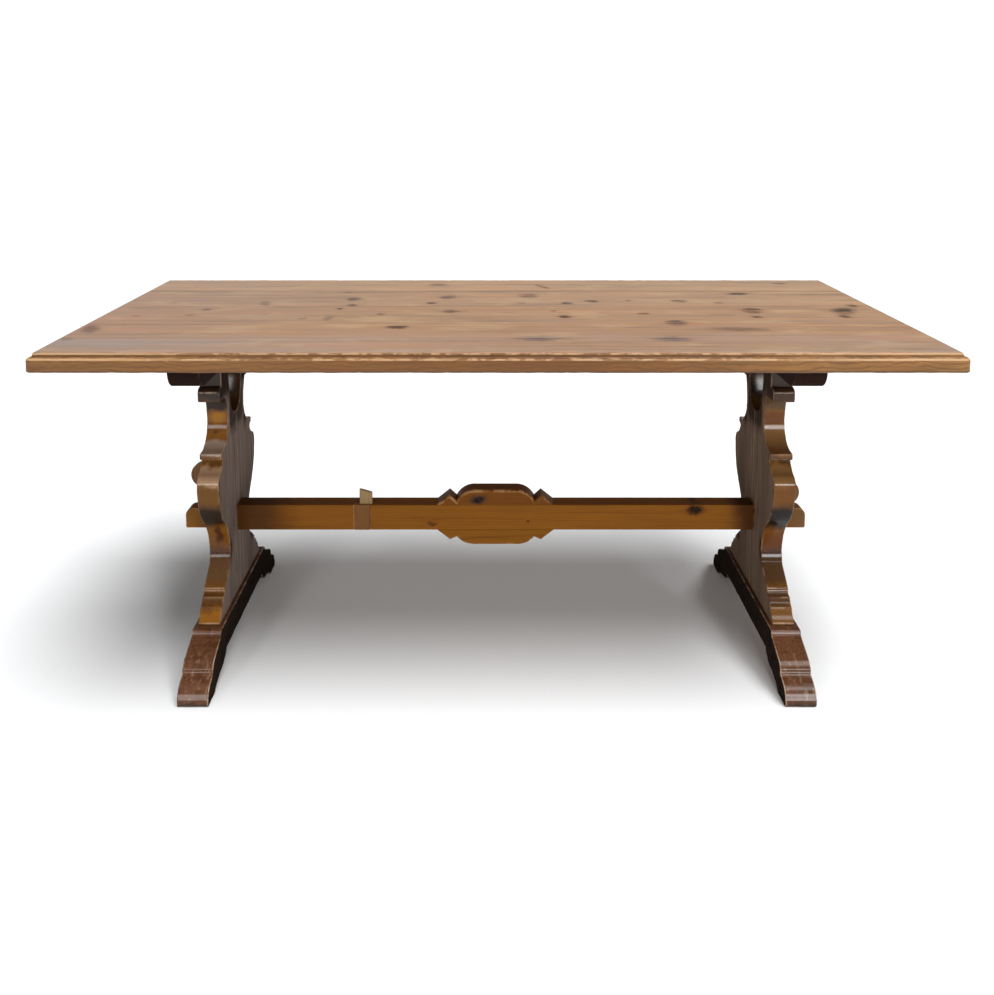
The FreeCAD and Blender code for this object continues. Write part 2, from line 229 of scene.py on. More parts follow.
class NodeSheet:
    """The nodes of a material or world, added and linked by short calls, with the colour so far."""

    def __init__(self, owner: bpy.types.Material | bpy.types.World) -> None:
        """Clear the nodes of a material or world.

        Args:
            owner: The material or world.
        """
        self.owner = owner
        owner.use_nodes = True
        owner.node_tree.nodes.clear()
        self.colour: Colour | Socket = (0.0, 0.0, 0.0)

    @cached_property
    def place(self) -> Socket:
        """Give the point's place in the table's frame."""
        return self.add("TexCoord").outputs["Object"]

    def add(self, kind: str, inputs: dict | None = None, **settings: object) -> bpy.types.Node:
        """Add a node.

        Args:
            kind: Blender's type of the node, without its prefix.
            inputs: A socket to link or a plain value for each input that gets one.
            **settings: Properties to set on it.

        Returns:
            The node.
        """
        tree = self.owner.node_tree
        made = tree.nodes.new("ShaderNode" + kind)
        for key, value in settings.items():
            setattr(made, key, value)
        for key, value in (inputs or {}).items():
            if isinstance(value, Socket):
                tree.links.new(value, made.inputs[key])
            else:
                made.inputs[key].default_value = value
        return made

    def maths(self, operation: str, *values: object, clamp: bool = False) -> Socket:
        """Do one sum on sockets or numbers, named as Blender does."""
        return self.add("Math", dict(enumerate(values)), operation=operation, use_clamp=clamp).outputs[0]

    def times(self, first: object, second: object) -> Socket:
        """Multiply two numbers."""
        return self.maths("MULTIPLY", first, second)

    def vector(self, operation: str, *values: object) -> Socket:
        """Do one sum on vectors; LENGTH gives a number, any other a vector."""
        made = self.add("VectorMath", dict(enumerate(values)), operation=operation)
        return made.outputs["Value" if operation == "LENGTH" else "Vector"]

    def axis(self, vector: Socket, axis: Grain) -> Socket:
        """Give the part of a vector along one axis."""
        return self.add("SeparateXYZ", {0: vector}).outputs[axis.value]

    def rise(self, value: Socket, low: float, high: float) -> Socket:
        """Go smoothly from 0 at one value to 1 at another.

        Args:
            value: Number that is read.
            low: Value at which the result is 0.
            high: Value at which it is 1; it may be under low.

        Returns:
            The result, from 0 to 1.
        """
        falls = low > high
        inputs = {
            "Value": value, "From Min": min(low, high), "From Max": max(low, high),
            "To Min": float(falls), "To Max": float(not falls),
        }
        return self.add("MapRange", inputs, interpolation_type="SMOOTHSTEP").outputs["Result"]

    def band(self, value: Socket, low: float, high: float, edge: float) -> Socket:
        """Be 1 between two values and 0 outside them, with a soft edge past each."""
        return self.times(self.rise(value, low - edge, low), self.rise(value, high + edge, high))

    def noise(
        self, where: Socket, scale: float | Place, detail: float = 2.0, roughness: float = 0.5,
        shift: float = 0.0, colour: bool = False,
    ) -> Socket:
        """Read a cloud of noise in space.

        Args:
            where: Place to read it at.
            scale: How many clouds there are to a unit, along each axis where they differ.
            detail: How many finer layers it has.
            roughness: How strong the finer layers are.
            shift: Moves clouds that differ by axis, in clouds.
            colour: Whether to give three values in place of one.

        Returns:
            The noise, about 0.5 on average.
        """
        if isinstance(scale, tuple):
            where = self.vector("MULTIPLY_ADD", where, scale, (shift, shift, shift))
            scale = 1.0
        inputs = {"Vector": where, "Scale": scale, "Detail": detail, "Roughness": roughness}
        return self.add("TexNoise", inputs).outputs["Color" if colour else "Fac"]

    def grained(self, where: Socket, grain: Grain, part: GrainNoise, colour: bool = False) -> Socket:
        """Read noise that is drawn out along the grain of a piece."""
        scale = grain.scaled(part.along, part.across)
        return self.noise(where, scale, part.detail, part.roughness, colour=colour)

    def patches(self, layer: Layer, shift: float = 0.0) -> Socket:
        """Give how much of a layer shows at the point; the shift moves its clouds."""
        cloud = self.noise(self.place, layer.scale, layer.detail, layer.roughness, shift)
        return self.times(self.rise(cloud, *layer.rise), layer.strength)

    def spot(self, place: Socket, centre: Place, halves: Place, turn: Place = (0.0, 0.0, 0.0)) -> Socket:
        """Measure how far a point is from the middle of a spot.

        Args:
            place: The point; bending it first makes the spot ragged.
            centre: Middle of the spot.
            halves: Half widths of the spot.
            turn: Its turn about each axis, in radians.

        Returns:
            0 at the middle and 1 on the edge.
        """
        inputs = {"Vector": place, "Location": centre, "Rotation": turn, "Scale": halves}
        return self.vector("LENGTH", self.add("Mapping", inputs, vector_type="TEXTURE").outputs[0])

    def bend(self, scale: float, reach: float, place: Socket | None = None) -> Socket:
        """Shift a place unevenly.

        Args:
            scale: How many waves of the shift there are to a metre.
            reach: Greatest shift, there and back.
            place: The place, or None for the point's own.

        Returns:
            The shifted place.
        """
        place = place or self.place
        cloud = self.noise(place, scale, detail=3.0, roughness=0.6, colour=True)
        centred = self.vector("SUBTRACT", cloud, (0.5, 0.5, 0.5))
        return self.vector("MULTIPLY_ADD", centred, (reach, reach, reach), place)

    def paint(self, share: object, over: Colour, mode: str = "MIX") -> None:
        """Lay a colour over the colour so far.

        Args:
            share: How much of it shows.
            over: The colour.
            mode: Blender's name of the way of mixing.
        """
        under = (*self.colour, 1.0) if isinstance(self.colour, tuple) else self.colour
        inputs = {0: share, 6: under, 7: (*over, 1.0)}
        made = self.add("Mix", inputs, data_type="RGBA", blend_type=mode, clamp_factor=True)
        self.colour = made.outputs[2]

    def finish(self, kind: str, **inputs: object) -> bpy.types.Material:
        """Put the shader on the sheet and end it.

        Args:
            kind: Blender's type of the shader, without its prefix.
            **inputs: Sockets or plain values of its inputs, with _ for a space in their names.

        Returns:
            The finished material.
        """
        skin = self.add(kind, {key.replace("_", " "): value for key, value in inputs.items()})
        self.add("OutputMaterial", {"Surface": skin.outputs[0]})
        return self.owner


@dataclass(frozen=True)
class PineFinish:
    """Stained and varnished pine, cut from a log whose pith lies beside the piece."""

    name: str

    # Colours of the early wood, the latewood lines, the broad clouds and the rubbed arrises
    pale: Colour
    line: Colour
    cloud: Colour
    worn: Colour

    # Place in the log: the way of the grain, a point on the pith, and a shift of the clouds
    grain: Grain = Grain.LENGTH
    pith: Place = (0.0, 0.0, 0.0)
    shift: float = 0.0

    # Width of a year's growth, and how strongly each part of the figure and the wear show
    ring_width: float = 0.0042
    line_strength: float = 0.5
    fibre_strength: float = 0.25
    streak_strength: float = 0.30
    cloud_strength: float = 0.5
    wear_strength: float = 0.6

    # The wood under the varnish, the varnish, and the strength of the grain's relief
    roughness: float = 0.45
    gloss: float = 0.25
    varnish: float = 0.15
    varnish_roughness: float = 0.22
    relief: float = 0.25

    # Knots, and patches of stained wood and of painted light and shade, that show on the piece
    knots: tuple[Knot, ...] = ()
    stains: tuple[Stain, ...] = ()

    # Knots: colours, push on the rings, ragged outline, and dark smear along the grain
    knot_brown: Colour = (0.036, 0.018, 0.011)
    knot_blue: Colour = (0.058, 0.054, 0.064)
    knot_push: float = 0.010
    knot_ragged: float = 0.020
    smear: float = 2.3
    smear_width: float = 1.15
    halo_share: float = 0.45

    def find_knots(self, sheet: NodeSheet) -> dict[str, object]:
        """Work out where the knots are and how they push the rings aside.

        Args:
            sheet: Sheet to add the nodes to.

        Returns:
            Sockets, or plain zeros, for brown, blue, halo and push.
        """
        parts: dict[str, object] = {"brown": 0.0, "blue": 0.0, "halo": 0.0, "push": 0.0}
        if not self.knots:
            return parts
        bent = sheet.bend(KNOT_WAVES, self.knot_ragged)
        mottle = sheet.maths("ADD", sheet.patches(KNOT_MOTTLE), 1.0 - KNOT_MOTTLE.strength)
        widths = self.grain.scaled(self.smear, self.smear_width)
        for knot in self.knots:
            turn = [0.0, 0.0, 0.0]
            turn[knot.through.value] = math.radians(knot.turn)
            halves = [side / 2 for side in knot.size]
            halves.insert(knot.through.value, 1.0)
            stretched = [half * width for half, width in zip(halves, widths)]
            distance = sheet.spot(bent, knot.place, halves, turn)
            core = sheet.times(sheet.rise(distance, *KNOT_CORE), mottle)
            near = sheet.rise(sheet.spot(bent, knot.place, stretched, turn), *KNOT_HALO)
            bulge = sheet.rise(distance, *KNOT_BULGE)
            brown, blue = knot.tone.value
            for key, value, weight in (
                ("brown", core, brown),
                ("blue", core, blue),
                ("halo", near, max(brown, blue)),
                ("push", bulge, self.knot_push),
            ):
                parts[key] = sheet.maths("MULTIPLY_ADD", value, weight, parts[key])
        return parts

    def grow(self, sheet: NodeSheet, push: object) -> dict[str, Socket]:
        """Work out the figure of the wood.

        Args:
            sheet: Sheet to add the nodes to.
            push: How far knots push the rings aside.

        Returns:
            Sockets for the latewood line, the fibre, the streak and the broad cloud.
        """
        moved = sheet.vector("ADD", sheet.place, (self.shift, self.shift * 1.7, self.shift * 0.6))
        drift = sheet.grained(moved, self.grain, DRIFT, colour=True)
        bent = sheet.vector("MULTIPLY_ADD", drift, (RING_DRIFT,) * 3, sheet.place)
        from_pith = sheet.vector("SUBTRACT", bent, tuple(part + RING_DRIFT / 2 for part in self.pith))
        radius = sheet.vector("LENGTH", sheet.vector("MULTIPLY", from_pith, self.grain.scaled(0.0, 1.0)))
        radius = sheet.maths("ADD", radius, push)
        years = sheet.maths("DIVIDE", radius, self.ring_width)
        season = sheet.rise(sheet.times(sheet.maths("PINGPONG", years, 0.5), 2.0), *SEASON_RISE)
        by_year = {"W": radius, "Scale": VIGOUR_SCALE, "Detail": 2.0}
        vigour = sheet.add("TexNoise", by_year, noise_dimensions="1D").outputs["Fac"]
        vigour = sheet.rise(vigour, *VIGOUR_RISE)
        return {
            "line": sheet.times(season, sheet.maths("MULTIPLY_ADD", vigour, 0.85, 0.15)),
            "fibre": sheet.grained(moved, self.grain, FIBRE),
            "streak": sheet.grained(moved, self.grain, STREAK),
            "cloud": sheet.grained(moved, self.grain, CLOUD),
        }

    def stain(self, sheet: NodeSheet) -> None:
        """Lay the patches of stained wood and of painted light and shade over the colour.

        Args:
            sheet: Sheet to add the nodes to.
        """
        if not self.stains:
            return
        bent = sheet.bend(*STAIN_AND_LIGHT_BEND)
        for stain in self.stains:
            distance = sheet.spot(bent, stain.place, tuple(side / 2 for side in stain.size))
            sheet.paint(sheet.times(sheet.rise(distance, *STAIN_AND_LIGHT_EDGE), stain.strength), stain.colour)

    def overlay(self, sheet: NodeSheet, cloud: Socket) -> None:
        """Add what is special to a piece, for which it gets the broad cloud; plain pine adds nothing."""

    def rub(self, sheet: NodeSheet) -> None:
        """Rub the eased arrises through to paler wood, unevenly.

        Args:
            sheet: Sheet to add the nodes to.
        """
        worn = sheet.add("Attribute", attribute_name=WEAR_LAYER).outputs["Fac"]
        uneven = sheet.times(sheet.patches(RUBBED_PATCHES), self.wear_strength)
        sheet.paint(sheet.times(worn, uneven), self.worn)

    def make(self) -> bpy.types.Material:
        """Make the material.

        Returns:
            The finished material.
        """
        sheet = NodeSheet(bpy.data.materials.new(self.name))
        knot = self.find_knots(sheet)
        figure = self.grow(sheet, knot["push"])
        sheet.colour = self.pale
        sheet.paint(sheet.times(sheet.rise(figure["cloud"], *CLOUD_RISE), self.cloud_strength), self.cloud)
        sheet.paint(sheet.times(figure["line"], self.line_strength), self.line)
        sheet.paint(sheet.times(sheet.rise(figure["fibre"], *FIBRE_RISE), self.fibre_strength), self.line)
        sheet.paint(sheet.times(sheet.rise(figure["streak"], *STREAK_RISE), self.streak_strength), self.line)
        if self.knots:
            sheet.paint(sheet.maths("MULTIPLY", knot["halo"], self.halo_share, clamp=True), self.line)
            sheet.paint(knot["blue"], self.knot_blue)
            sheet.paint(knot["brown"], self.knot_brown)
        self.stain(sheet)
        self.overlay(sheet, figure["cloud"])
        self.rub(sheet)
        smear = sheet.maths("SUBTRACT", sheet.noise(sheet.place, SMEAR_SCALE, detail=3.0), 0.5)
        roughness = sheet.maths("MULTIPLY_ADD", smear, SMEAR_CHANGE, self.roughness)
        roughness = sheet.maths("MULTIPLY_ADD", figure["line"], LINE_CHANGE, roughness)
        height = sheet.times(figure["fibre"], FIBRE_RELIEF)
        height = sheet.maths("MULTIPLY_ADD", figure["line"], LINE_RELIEF, height)
        height = sheet.maths("MULTIPLY_ADD", sheet.patches(DENTED_PATCHES), DENT_RELIEF, height)
        bump = sheet.add("Bump", {"Strength": self.relief, "Distance": RELIEF_DEPTH, "Height": height})
        return sheet.finish(
            "BsdfPrincipled", Base_Color=sheet.colour, Roughness=roughness, Normal=bump.outputs[0],
            Specular_IOR_Level=self.gloss, Coat_Weight=self.varnish, Coat_Roughness=self.varnish_roughness,
        )


@dataclass(frozen=True)
class TopFinish(PineFinish):
    """The plank top: pale and worn on its flat, honey brown on its moulding, with painted highlights along
    the moulding's lines.
    """

    # Heights of the flat and of the underside, and half the length of the top
    level: float = 0.0
    bottom: float = 0.0
    end: float = 0.0

    # Bloomed varnish with painted sheen in a strip: outer and inner place along Y, soft edge, and share
    # where cloudy and everywhere
    haze: Span = (0.0, 0.0)
    haze_edge: float = 0.10
    bloom_share: Span = (0.38, 0.06)

    # Joints along Y with how dark each is; their line's half width, soft edge and uneven share
    seams: tuple[Span, ...] = ()
    seam_half: float = 0.0012
    seam_edge: float = 0.0040
    seam_share: Span = (0.6, 0.4)

    # Colours on the flat: streaks, patches, and bloomed varnish with painted sheen
    warm: Colour = (0.43, 0.200, 0.105)
    dusk: Colour = (0.200, 0.118, 0.074)
    sunned: Colour = (0.480, 0.325, 0.190)
    rosy: Colour = (0.330, 0.205, 0.150)
    bloom: Colour = (0.35, 0.30, 0.285)
    left_bloom: Colour = (0.27, 0.215, 0.195)
    left_share: float = 0.24

    # Places along X between which the left end greys with painted sheen, and the middle and right tints grow
    left_reach: Span = (-0.15, -0.85)
    middle_reach: Span = (0.66, 0.10)
    right_reach: Span = (0.30, 0.85)

    # Tints of the whole moulding, of its middle and of its right end
    honey: Colour = (0.55, 0.36, 0.125)
    middle_tint: Colour = (0.76, 0.66, 0.48)
    right_tint: Colour = (1.25, 1.33, 1.40)

    # The moulding's figure, with its lines to a metre of height; its dirt, with painted shade in the quirk;
    # and its worn lines, which carry painted highlights
    figure_dark: Colour = (0.100, 0.040, 0.012)
    figure_lines: float = 105.0
    figure_stretch: Place = (0.55, 1.0, 1.0)
    figure_rise: Span = (0.26, 0.44)
    figure_share: float = 0.50
    grime: Colour = (0.070, 0.034, 0.013)
    low_grime_share: float = 0.55
    rubbed: Colour = (0.54, 0.335, 0.175)
    rubbed_share: float = 0.74

    # Painted highlights on the worn lines: share that chips leave, and the places along X past which they
    # are nearly whole
    chipped_share: float = 0.15
    whole_reach: Span = (0.45, 0.80)
    whole_share: float = 0.90

    # Soft edges of the quirk's, the lowest, the bead's and the shoulder's line
    line_edges: tuple[float, float, float, float] = (0.0014, 0.0025, 0.0008, 0.0009)

    # Distances from the ends of the top between which it darkens like end grain, and how much
    end_line: Span = (0.006, 0.001)
    end_share: float = 0.45

    # Depths of the moulding's lines under the flat; the last is a height above the underside
    moulding_start: Span = (0.0004, 0.0022)
    bead_line: Span = (0.0046, 0.0022)
    quirk_line: Span = (0.0094, 0.0066)
    shoulder_line: Span = (0.0132, 0.0108)
    bottom_line: Span = (0.0004, 0.0035)

    # Patches on the flat, by the name of their colour, in the order that they are painted in
    patches: tuple[tuple[str, Layer], ...] = (
        ("warm", Layer((1.3, 30.0, 30.0), 5.0, 0.66, (0.50, 0.66), 0.72)),
        ("dusk", Layer((1.3, 30.0, 30.0), 5.0, 0.66, (0.48, 0.34), 0.68)),
        ("dusk", Layer((2.6, 150.0, 150.0), 4.0, 0.60, (0.53, 0.68), 0.66)),
        ("sunned", Layer((6.0, 13.0, 13.0), 5.0, 0.6, (0.50, 0.66), 0.42)),
        ("rosy", Layer((6.0, 13.0, 13.0), 5.0, 0.6, (0.48, 0.34), 0.38)),
    )

    def overlay(self, sheet: NodeSheet, cloud: Socket) -> None:
        """Add the patches, the bloomed varnish with its painted sheen, the seams and the moulding.

        Args:
            sheet: Sheet to add the nodes to.
            cloud: Broad cloud of the figure.
        """
        for name, layer in self.patches:
            sheet.paint(sheet.patches(layer, self.shift), getattr(self, name))
        # Painted sheen with bloomed varnish: a pale grey strip along the front, and a grey cast over the
        # left end
        uneven = sheet.maths("MULTIPLY_ADD", sheet.rise(cloud, 0.30, 0.65), *self.bloom_share)
        front = sheet.band(sheet.axis(sheet.bend(*HAZE_BEND), Grain.DEPTH), *self.haze, self.haze_edge)
        sheet.paint(sheet.times(front, uneven), self.bloom)
        left = sheet.rise(sheet.axis(sheet.place, Grain.LENGTH), *self.left_reach)
        sheet.paint(sheet.times(left, self.left_share), self.left_bloom)
        across = sheet.axis(sheet.place, Grain.DEPTH)
        broken = sheet.maths("MULTIPLY_ADD", sheet.rise(cloud, 0.62, 0.40), *self.seam_share)
        for seam, strength in self.seams:
            line = sheet.band(across, seam - self.seam_half, seam + self.seam_half, self.seam_edge)
            sheet.paint(sheet.times(sheet.times(line, broken), strength), self.grime)
        self.mould(sheet)

    def under_flat(self, depths: Span) -> Span:
        """Turn two depths under the flat into heights."""
        return self.level - depths[0], self.level - depths[1]

    def mould(self, sheet: NodeSheet) -> None:
        """Give the moulding its honey colour, figure, dirt with painted shade in the quirk, a darker lowest
        line, and painted highlights on its worn lines.

        Args:
            sheet: Sheet to add the nodes to.
        """
        height = sheet.axis(sheet.place, Grain.HEIGHT)
        length = sheet.axis(sheet.place, Grain.LENGTH)
        along = sheet.maths("ABSOLUTE", length)
        moulding = sheet.rise(height, *self.under_flat(self.moulding_start))
        sheet.paint(moulding, self.honey, mode="MULTIPLY")
        middle = sheet.times(moulding, sheet.rise(along, *self.middle_reach))
        sheet.paint(middle, self.middle_tint, mode="MULTIPLY")
        right = sheet.times(moulding, sheet.rise(length, *self.right_reach))
        sheet.paint(right, self.right_tint, mode="MULTIPLY")
        slow = sheet.vector("MULTIPLY", sheet.place, self.figure_stretch)
        waves = sheet.axis(sheet.bend(*FIGURE_BEND, slow), Grain.HEIGHT)
        rings = sheet.maths("PINGPONG", sheet.times(waves, self.figure_lines), 0.5)
        lines = sheet.times(sheet.rise(rings, *self.figure_rise), self.figure_share)
        drawn = sheet.maths("ADD", sheet.patches(MOULDING_FIBRES), lines)
        sheet.paint(sheet.times(drawn, moulding), self.figure_dark)
        quirk_edge, low_edge, bead_edge, shoulder_edge = self.line_edges
        # Dirt and painted shade in the quirk, and a darker lowest line just above the underside
        quirk = sheet.band(height, *self.under_flat(self.quirk_line), quirk_edge)
        quirk = sheet.times(quirk, sheet.patches(QUIRK_DIRT_AND_SHADE))
        low = sheet.band(height, *(self.bottom + rise for rise in self.bottom_line), low_edge)
        sheet.paint(sheet.maths("MAXIMUM", quirk, sheet.times(low, self.low_grime_share)), self.grime)
        # Painted highlights along the bead and the shoulder, broken by chips
        wavy = sheet.axis(sheet.bend(*RUBBED_HIGHLIGHT_BEND), Grain.HEIGHT)
        chips = sheet.maths("ADD", sheet.patches(MOULDING_CHIPS), self.chipped_share)
        whole = sheet.times(sheet.rise(along, *self.whole_reach), self.whole_share)
        chips = sheet.maths("MAXIMUM", chips, whole)
        bead = sheet.band(wavy, *self.under_flat(self.bead_line), bead_edge)
        shoulder = sheet.band(wavy, *self.under_flat(self.shoulder_line), shoulder_edge)
        rubbed = sheet.times(sheet.maths("MAXIMUM", bead, shoulder), moulding)
        sheet.paint(sheet.times(sheet.times(rubbed, chips), self.rubbed_share), self.rubbed)
        ends = sheet.rise(along, *(self.end - inset for inset in self.end_line))
        sheet.paint(sheet.times(ends, self.end_share), self.line)


@dataclass(frozen=True)
class TrestleFinish(PineFinish):
    """A trestle board: painted shade over its head and in its eye, with a pale line of old glue at the
    joint.
    """

    # Painted shade over the head, under the top: its colour, how much of it shows, and the heights between
    # which it grows
    soot: Colour = (0.020, 0.012, 0.009)
    soot_share: float = 0.93
    head: Span = (0.560, 0.612)

    # Painted shade in the eye at the head: distances from the joint, and heights, between which it grows,
    # and how much
    eye: Span = (0.070, 0.055)
    eye_height: Span = (0.48, 0.52)
    eye_share: float = 0.80

    # The old glue, the distances from the joint between which it ends, and how much of it shows
    glue: Colour = (0.33, 0.27, 0.20)
    glue_line: Span = (0.0019, 0.0008)
    glue_share: float = 0.65

    def overlay(self, sheet: NodeSheet, cloud: Socket) -> None:
        """Paint shade over the head and in the eye, and draw the line of glue.

        Args:
            sheet: Sheet to add the nodes to.
            cloud: Broad cloud of the figure; not used here.
        """
        height = sheet.axis(sheet.bend(*HEIGHT_BEND), Grain.HEIGHT)
        head = sheet.times(sheet.rise(height, *self.head), self.soot_share)
        beside = sheet.maths("ABSOLUTE", sheet.axis(sheet.place, Grain.DEPTH))
        eye = sheet.times(sheet.rise(beside, *self.eye), sheet.rise(height, *self.eye_height))
        # Painted shade over the head and in the eye
        sheet.paint(sheet.maths("MAXIMUM", head, sheet.times(eye, self.eye_share)), self.soot)
        sheet.paint(sheet.times(sheet.rise(beside, *self.glue_line), self.glue_share), self.glue)


@dataclass(frozen=True)
class FootFinish(PineFinish):
    """A sledge foot: kicked and scratched on its toes, darker towards the floor."""

    # Colours of the scratches and of the darkening at the floor, and the heights up to which it darkens and
    # is kicked
    scratch: Colour = (0.34, 0.25, 0.18)
    damp: Colour = (0.012, 0.010, 0.009)
    damp_height: float = 0.012
    scuffed_height: float = 0.11

    # Share of the scratches, extra at the floor and everywhere, and share of the darkening at the floor
    scratch_share: Span = (0.20, 0.10)
    damp_share: float = 0.65

    def overlay(self, sheet: NodeSheet, cloud: Socket) -> None:
        """Blotch and scratch the toes and darken the wood at the floor.

        Args:
            sheet: Sheet to add the nodes to.
            cloud: Broad cloud of the figure; not used here.
        """
        sheet.paint(sheet.patches(FOOT_BLOTCHES), self.line)
        height = sheet.axis(sheet.place, Grain.HEIGHT)
        low = sheet.rise(height, self.scuffed_height, self.scuffed_height / 3)
        marks = sheet.maths("MAXIMUM", sheet.patches(FOOT_SCRATCHES), sheet.patches(FOOT_SPECKS))
        share = sheet.maths("MULTIPLY_ADD", low, *self.scratch_share)
        sheet.paint(sheet.times(marks, share), self.scratch)
        near_floor = sheet.rise(sheet.axis(sheet.bend(*HEIGHT_BEND), Grain.HEIGHT), self.damp_height, 0.0)
        sheet.paint(sheet.times(near_floor, self.damp_share), self.damp)


@dataclass(frozen=True)
class SteelFinish:
    """Dull, blotchy screw steel."""

    name: str
    bright: Colour = (0.46, 0.45, 0.43)
    tarnish: Colour = (0.16, 0.12, 0.09)

    def make(self) -> bpy.types.Material:
        """Make the material.

        Returns:
            The finished material.
        """
        sheet = NodeSheet(bpy.data.materials.new(self.name))
        blotch = sheet.patches(STEEL_TARNISH)
        sheet.colour = self.bright
        sheet.paint(blotch, self.tarnish)
        roughness = sheet.maths("MULTIPLY_ADD", blotch, 0.30, 0.34)
        return sheet.finish("BsdfPrincipled", Metallic=1.0, Base_Color=sheet.colour, Roughness=roughness)


def as_kind(kind: type[PineFinish], base: PineFinish, **changes: object) -> PineFinish:
    """Give a special kind of finish all the values of a plain one, apart from the changes."""
    return kind(**{part.name: getattr(base, part.name) for part in fields(base)} | changes)


def tinted(colour: Colour, tint: Colour) -> Colour:
    """Multiply a colour by a tint, part by part."""
    return tuple(part * share for part, share in zip(colour, tint))


TOP_PINE = TopFinish(
    name="top_pine", pale=(0.375, 0.212, 0.120), line=(0.235, 0.112, 0.052), cloud=(0.305, 0.180, 0.115),
    worn=(0.46, 0.29, 0.16), line_strength=0.34, fibre_strength=0.16, cloud_strength=0.55,
    wear_strength=0.45, roughness=0.46, gloss=0.25, varnish=0.06, varnish_roughness=0.30,
)

# The underside is raw wood, darkened as painted shade
SHADED_UNDER_PINE = PineFinish(
    name="under_pine", pale=(0.160, 0.094, 0.056), line=(0.085, 0.044, 0.024), cloud=(0.120, 0.072, 0.044),
    worn=(0.20, 0.13, 0.08), line_strength=0.55, fibre_strength=0.35, cloud_strength=0.65, wear_strength=0.0,
    roughness=0.80, gloss=0.05, varnish=0.0,
)

DARK_PINE = PineFinish(
    name="dark_pine", pale=(0.200, 0.078, 0.012), line=(0.050, 0.018, 0.005), cloud=(0.115, 0.041, 0.008),
    worn=(0.38, 0.23, 0.12), line_strength=0.60, fibre_strength=0.35, cloud_strength=0.75,
    wear_strength=0.45, roughness=0.40, gloss=0.02, varnish=0.40, varnish_roughness=0.15,
)

# The bearers are painted nearly black: painted shade under the top
SHADED_BEARER_PINE = replace(
    DARK_PINE, name="bearer_pine", pale=(0.022, 0.010, 0.008), line=(0.010, 0.005, 0.004),
    cloud=(0.013, 0.007, 0.006), grain=Grain.DEPTH, wear_strength=0.10, roughness=0.75, gloss=0.0,
    varnish=0.02,
)

FOOT_PINE = as_kind(
    FootFinish, DARK_PINE, name="foot_pine", pale=(0.120, 0.048, 0.022), cloud=(0.052, 0.022, 0.013),
    worn=(0.46, 0.33, 0.22), grain=Grain.DEPTH, line_strength=0.30, fibre_strength=0.15, wear_strength=0.80,
    roughness=0.44, relief=0.14, varnish_roughness=0.20,
)

AMBER_PINE = PineFinish(
    name="amber_pine", pale=(0.232, 0.084, 0.008), line=(0.110, 0.036, 0.005), cloud=(0.175, 0.062, 0.007),
    worn=(0.40, 0.215, 0.090), line_strength=0.45, fibre_strength=0.30, cloud_strength=0.55,
    wear_strength=0.80, roughness=0.46, gloss=0.03, varnish=0.04, varnish_roughness=0.20,
)

PATCH_PINE = replace(
    AMBER_PINE, name="patch_pine", pale=(0.170, 0.074, 0.024), line=(0.095, 0.040, 0.015),
    cloud=(0.140, 0.060, 0.020), grain=Grain.HEIGHT, pith=(-0.30, 0.05, 0.3),
)

BARE_PINE = PineFinish(
    name="bare_pine", pale=(0.29, 0.190, 0.088), line=(0.19, 0.115, 0.050), cloud=(0.24, 0.155, 0.070),
    worn=(0.34, 0.235, 0.120), grain=Grain.HEIGHT, pith=(-0.33, 0.05, 0.3), roughness=0.6, gloss=0.1,
    varnish=0.0,
)

BLACK_KNOT = (0.010, 0.005, 0.004)


class Sign(Enum):
    """A place on one side or the other of the table's middle."""

    @property
    def word(self) -> str:
        """Give the word that the nodes use."""
        return self.name.lower()


class Side(Sign):
    """An end of the table, as its sign along X."""

    LEFT = -1
    RIGHT = 1


class End(Sign):
    """The front or back half of a trestle, as its sign along Y."""

    FRONT = -1
    BACK = 1


def put(name: str, data: bpy.types.ID) -> bpy.types.Object:
    """Put an object into the scene.

    Args:
        name: Its name.
        data: Its mesh, light or camera.

    Returns:
        The object.
    """
    thing = bpy.data.objects.new(name, data)
    bpy.context.scene.collection.objects.link(thing)
    return thing


def is_flank(normal: Vector) -> bool:
    """Tell whether a face looks along the table."""
    return abs(normal.x) > FLANK_FACING


def is_underside(normal: Vector) -> bool:
    """Tell whether a face looks down."""
    return normal.z < -FLANK_FACING


def away_from_joint(edge: bmesh.types.BMEdge) -> bool:
    """Tell whether an edge is clear of the glued joint at the middle of a trestle."""
    return any(abs(vertex.co.y) > SAME_PLACE for vertex in edge.verts)


def off_beam(edge: bmesh.types.BMEdge) -> bool:
    """Tell whether an edge is clear of the faces where the crest and pendant sit on the beam."""
    seats = [corner.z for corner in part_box("stretcher")]
    return not all(min(abs(vertex.co.z - seat) for seat in seats) < SAME_PLACE for vertex in edge.verts)


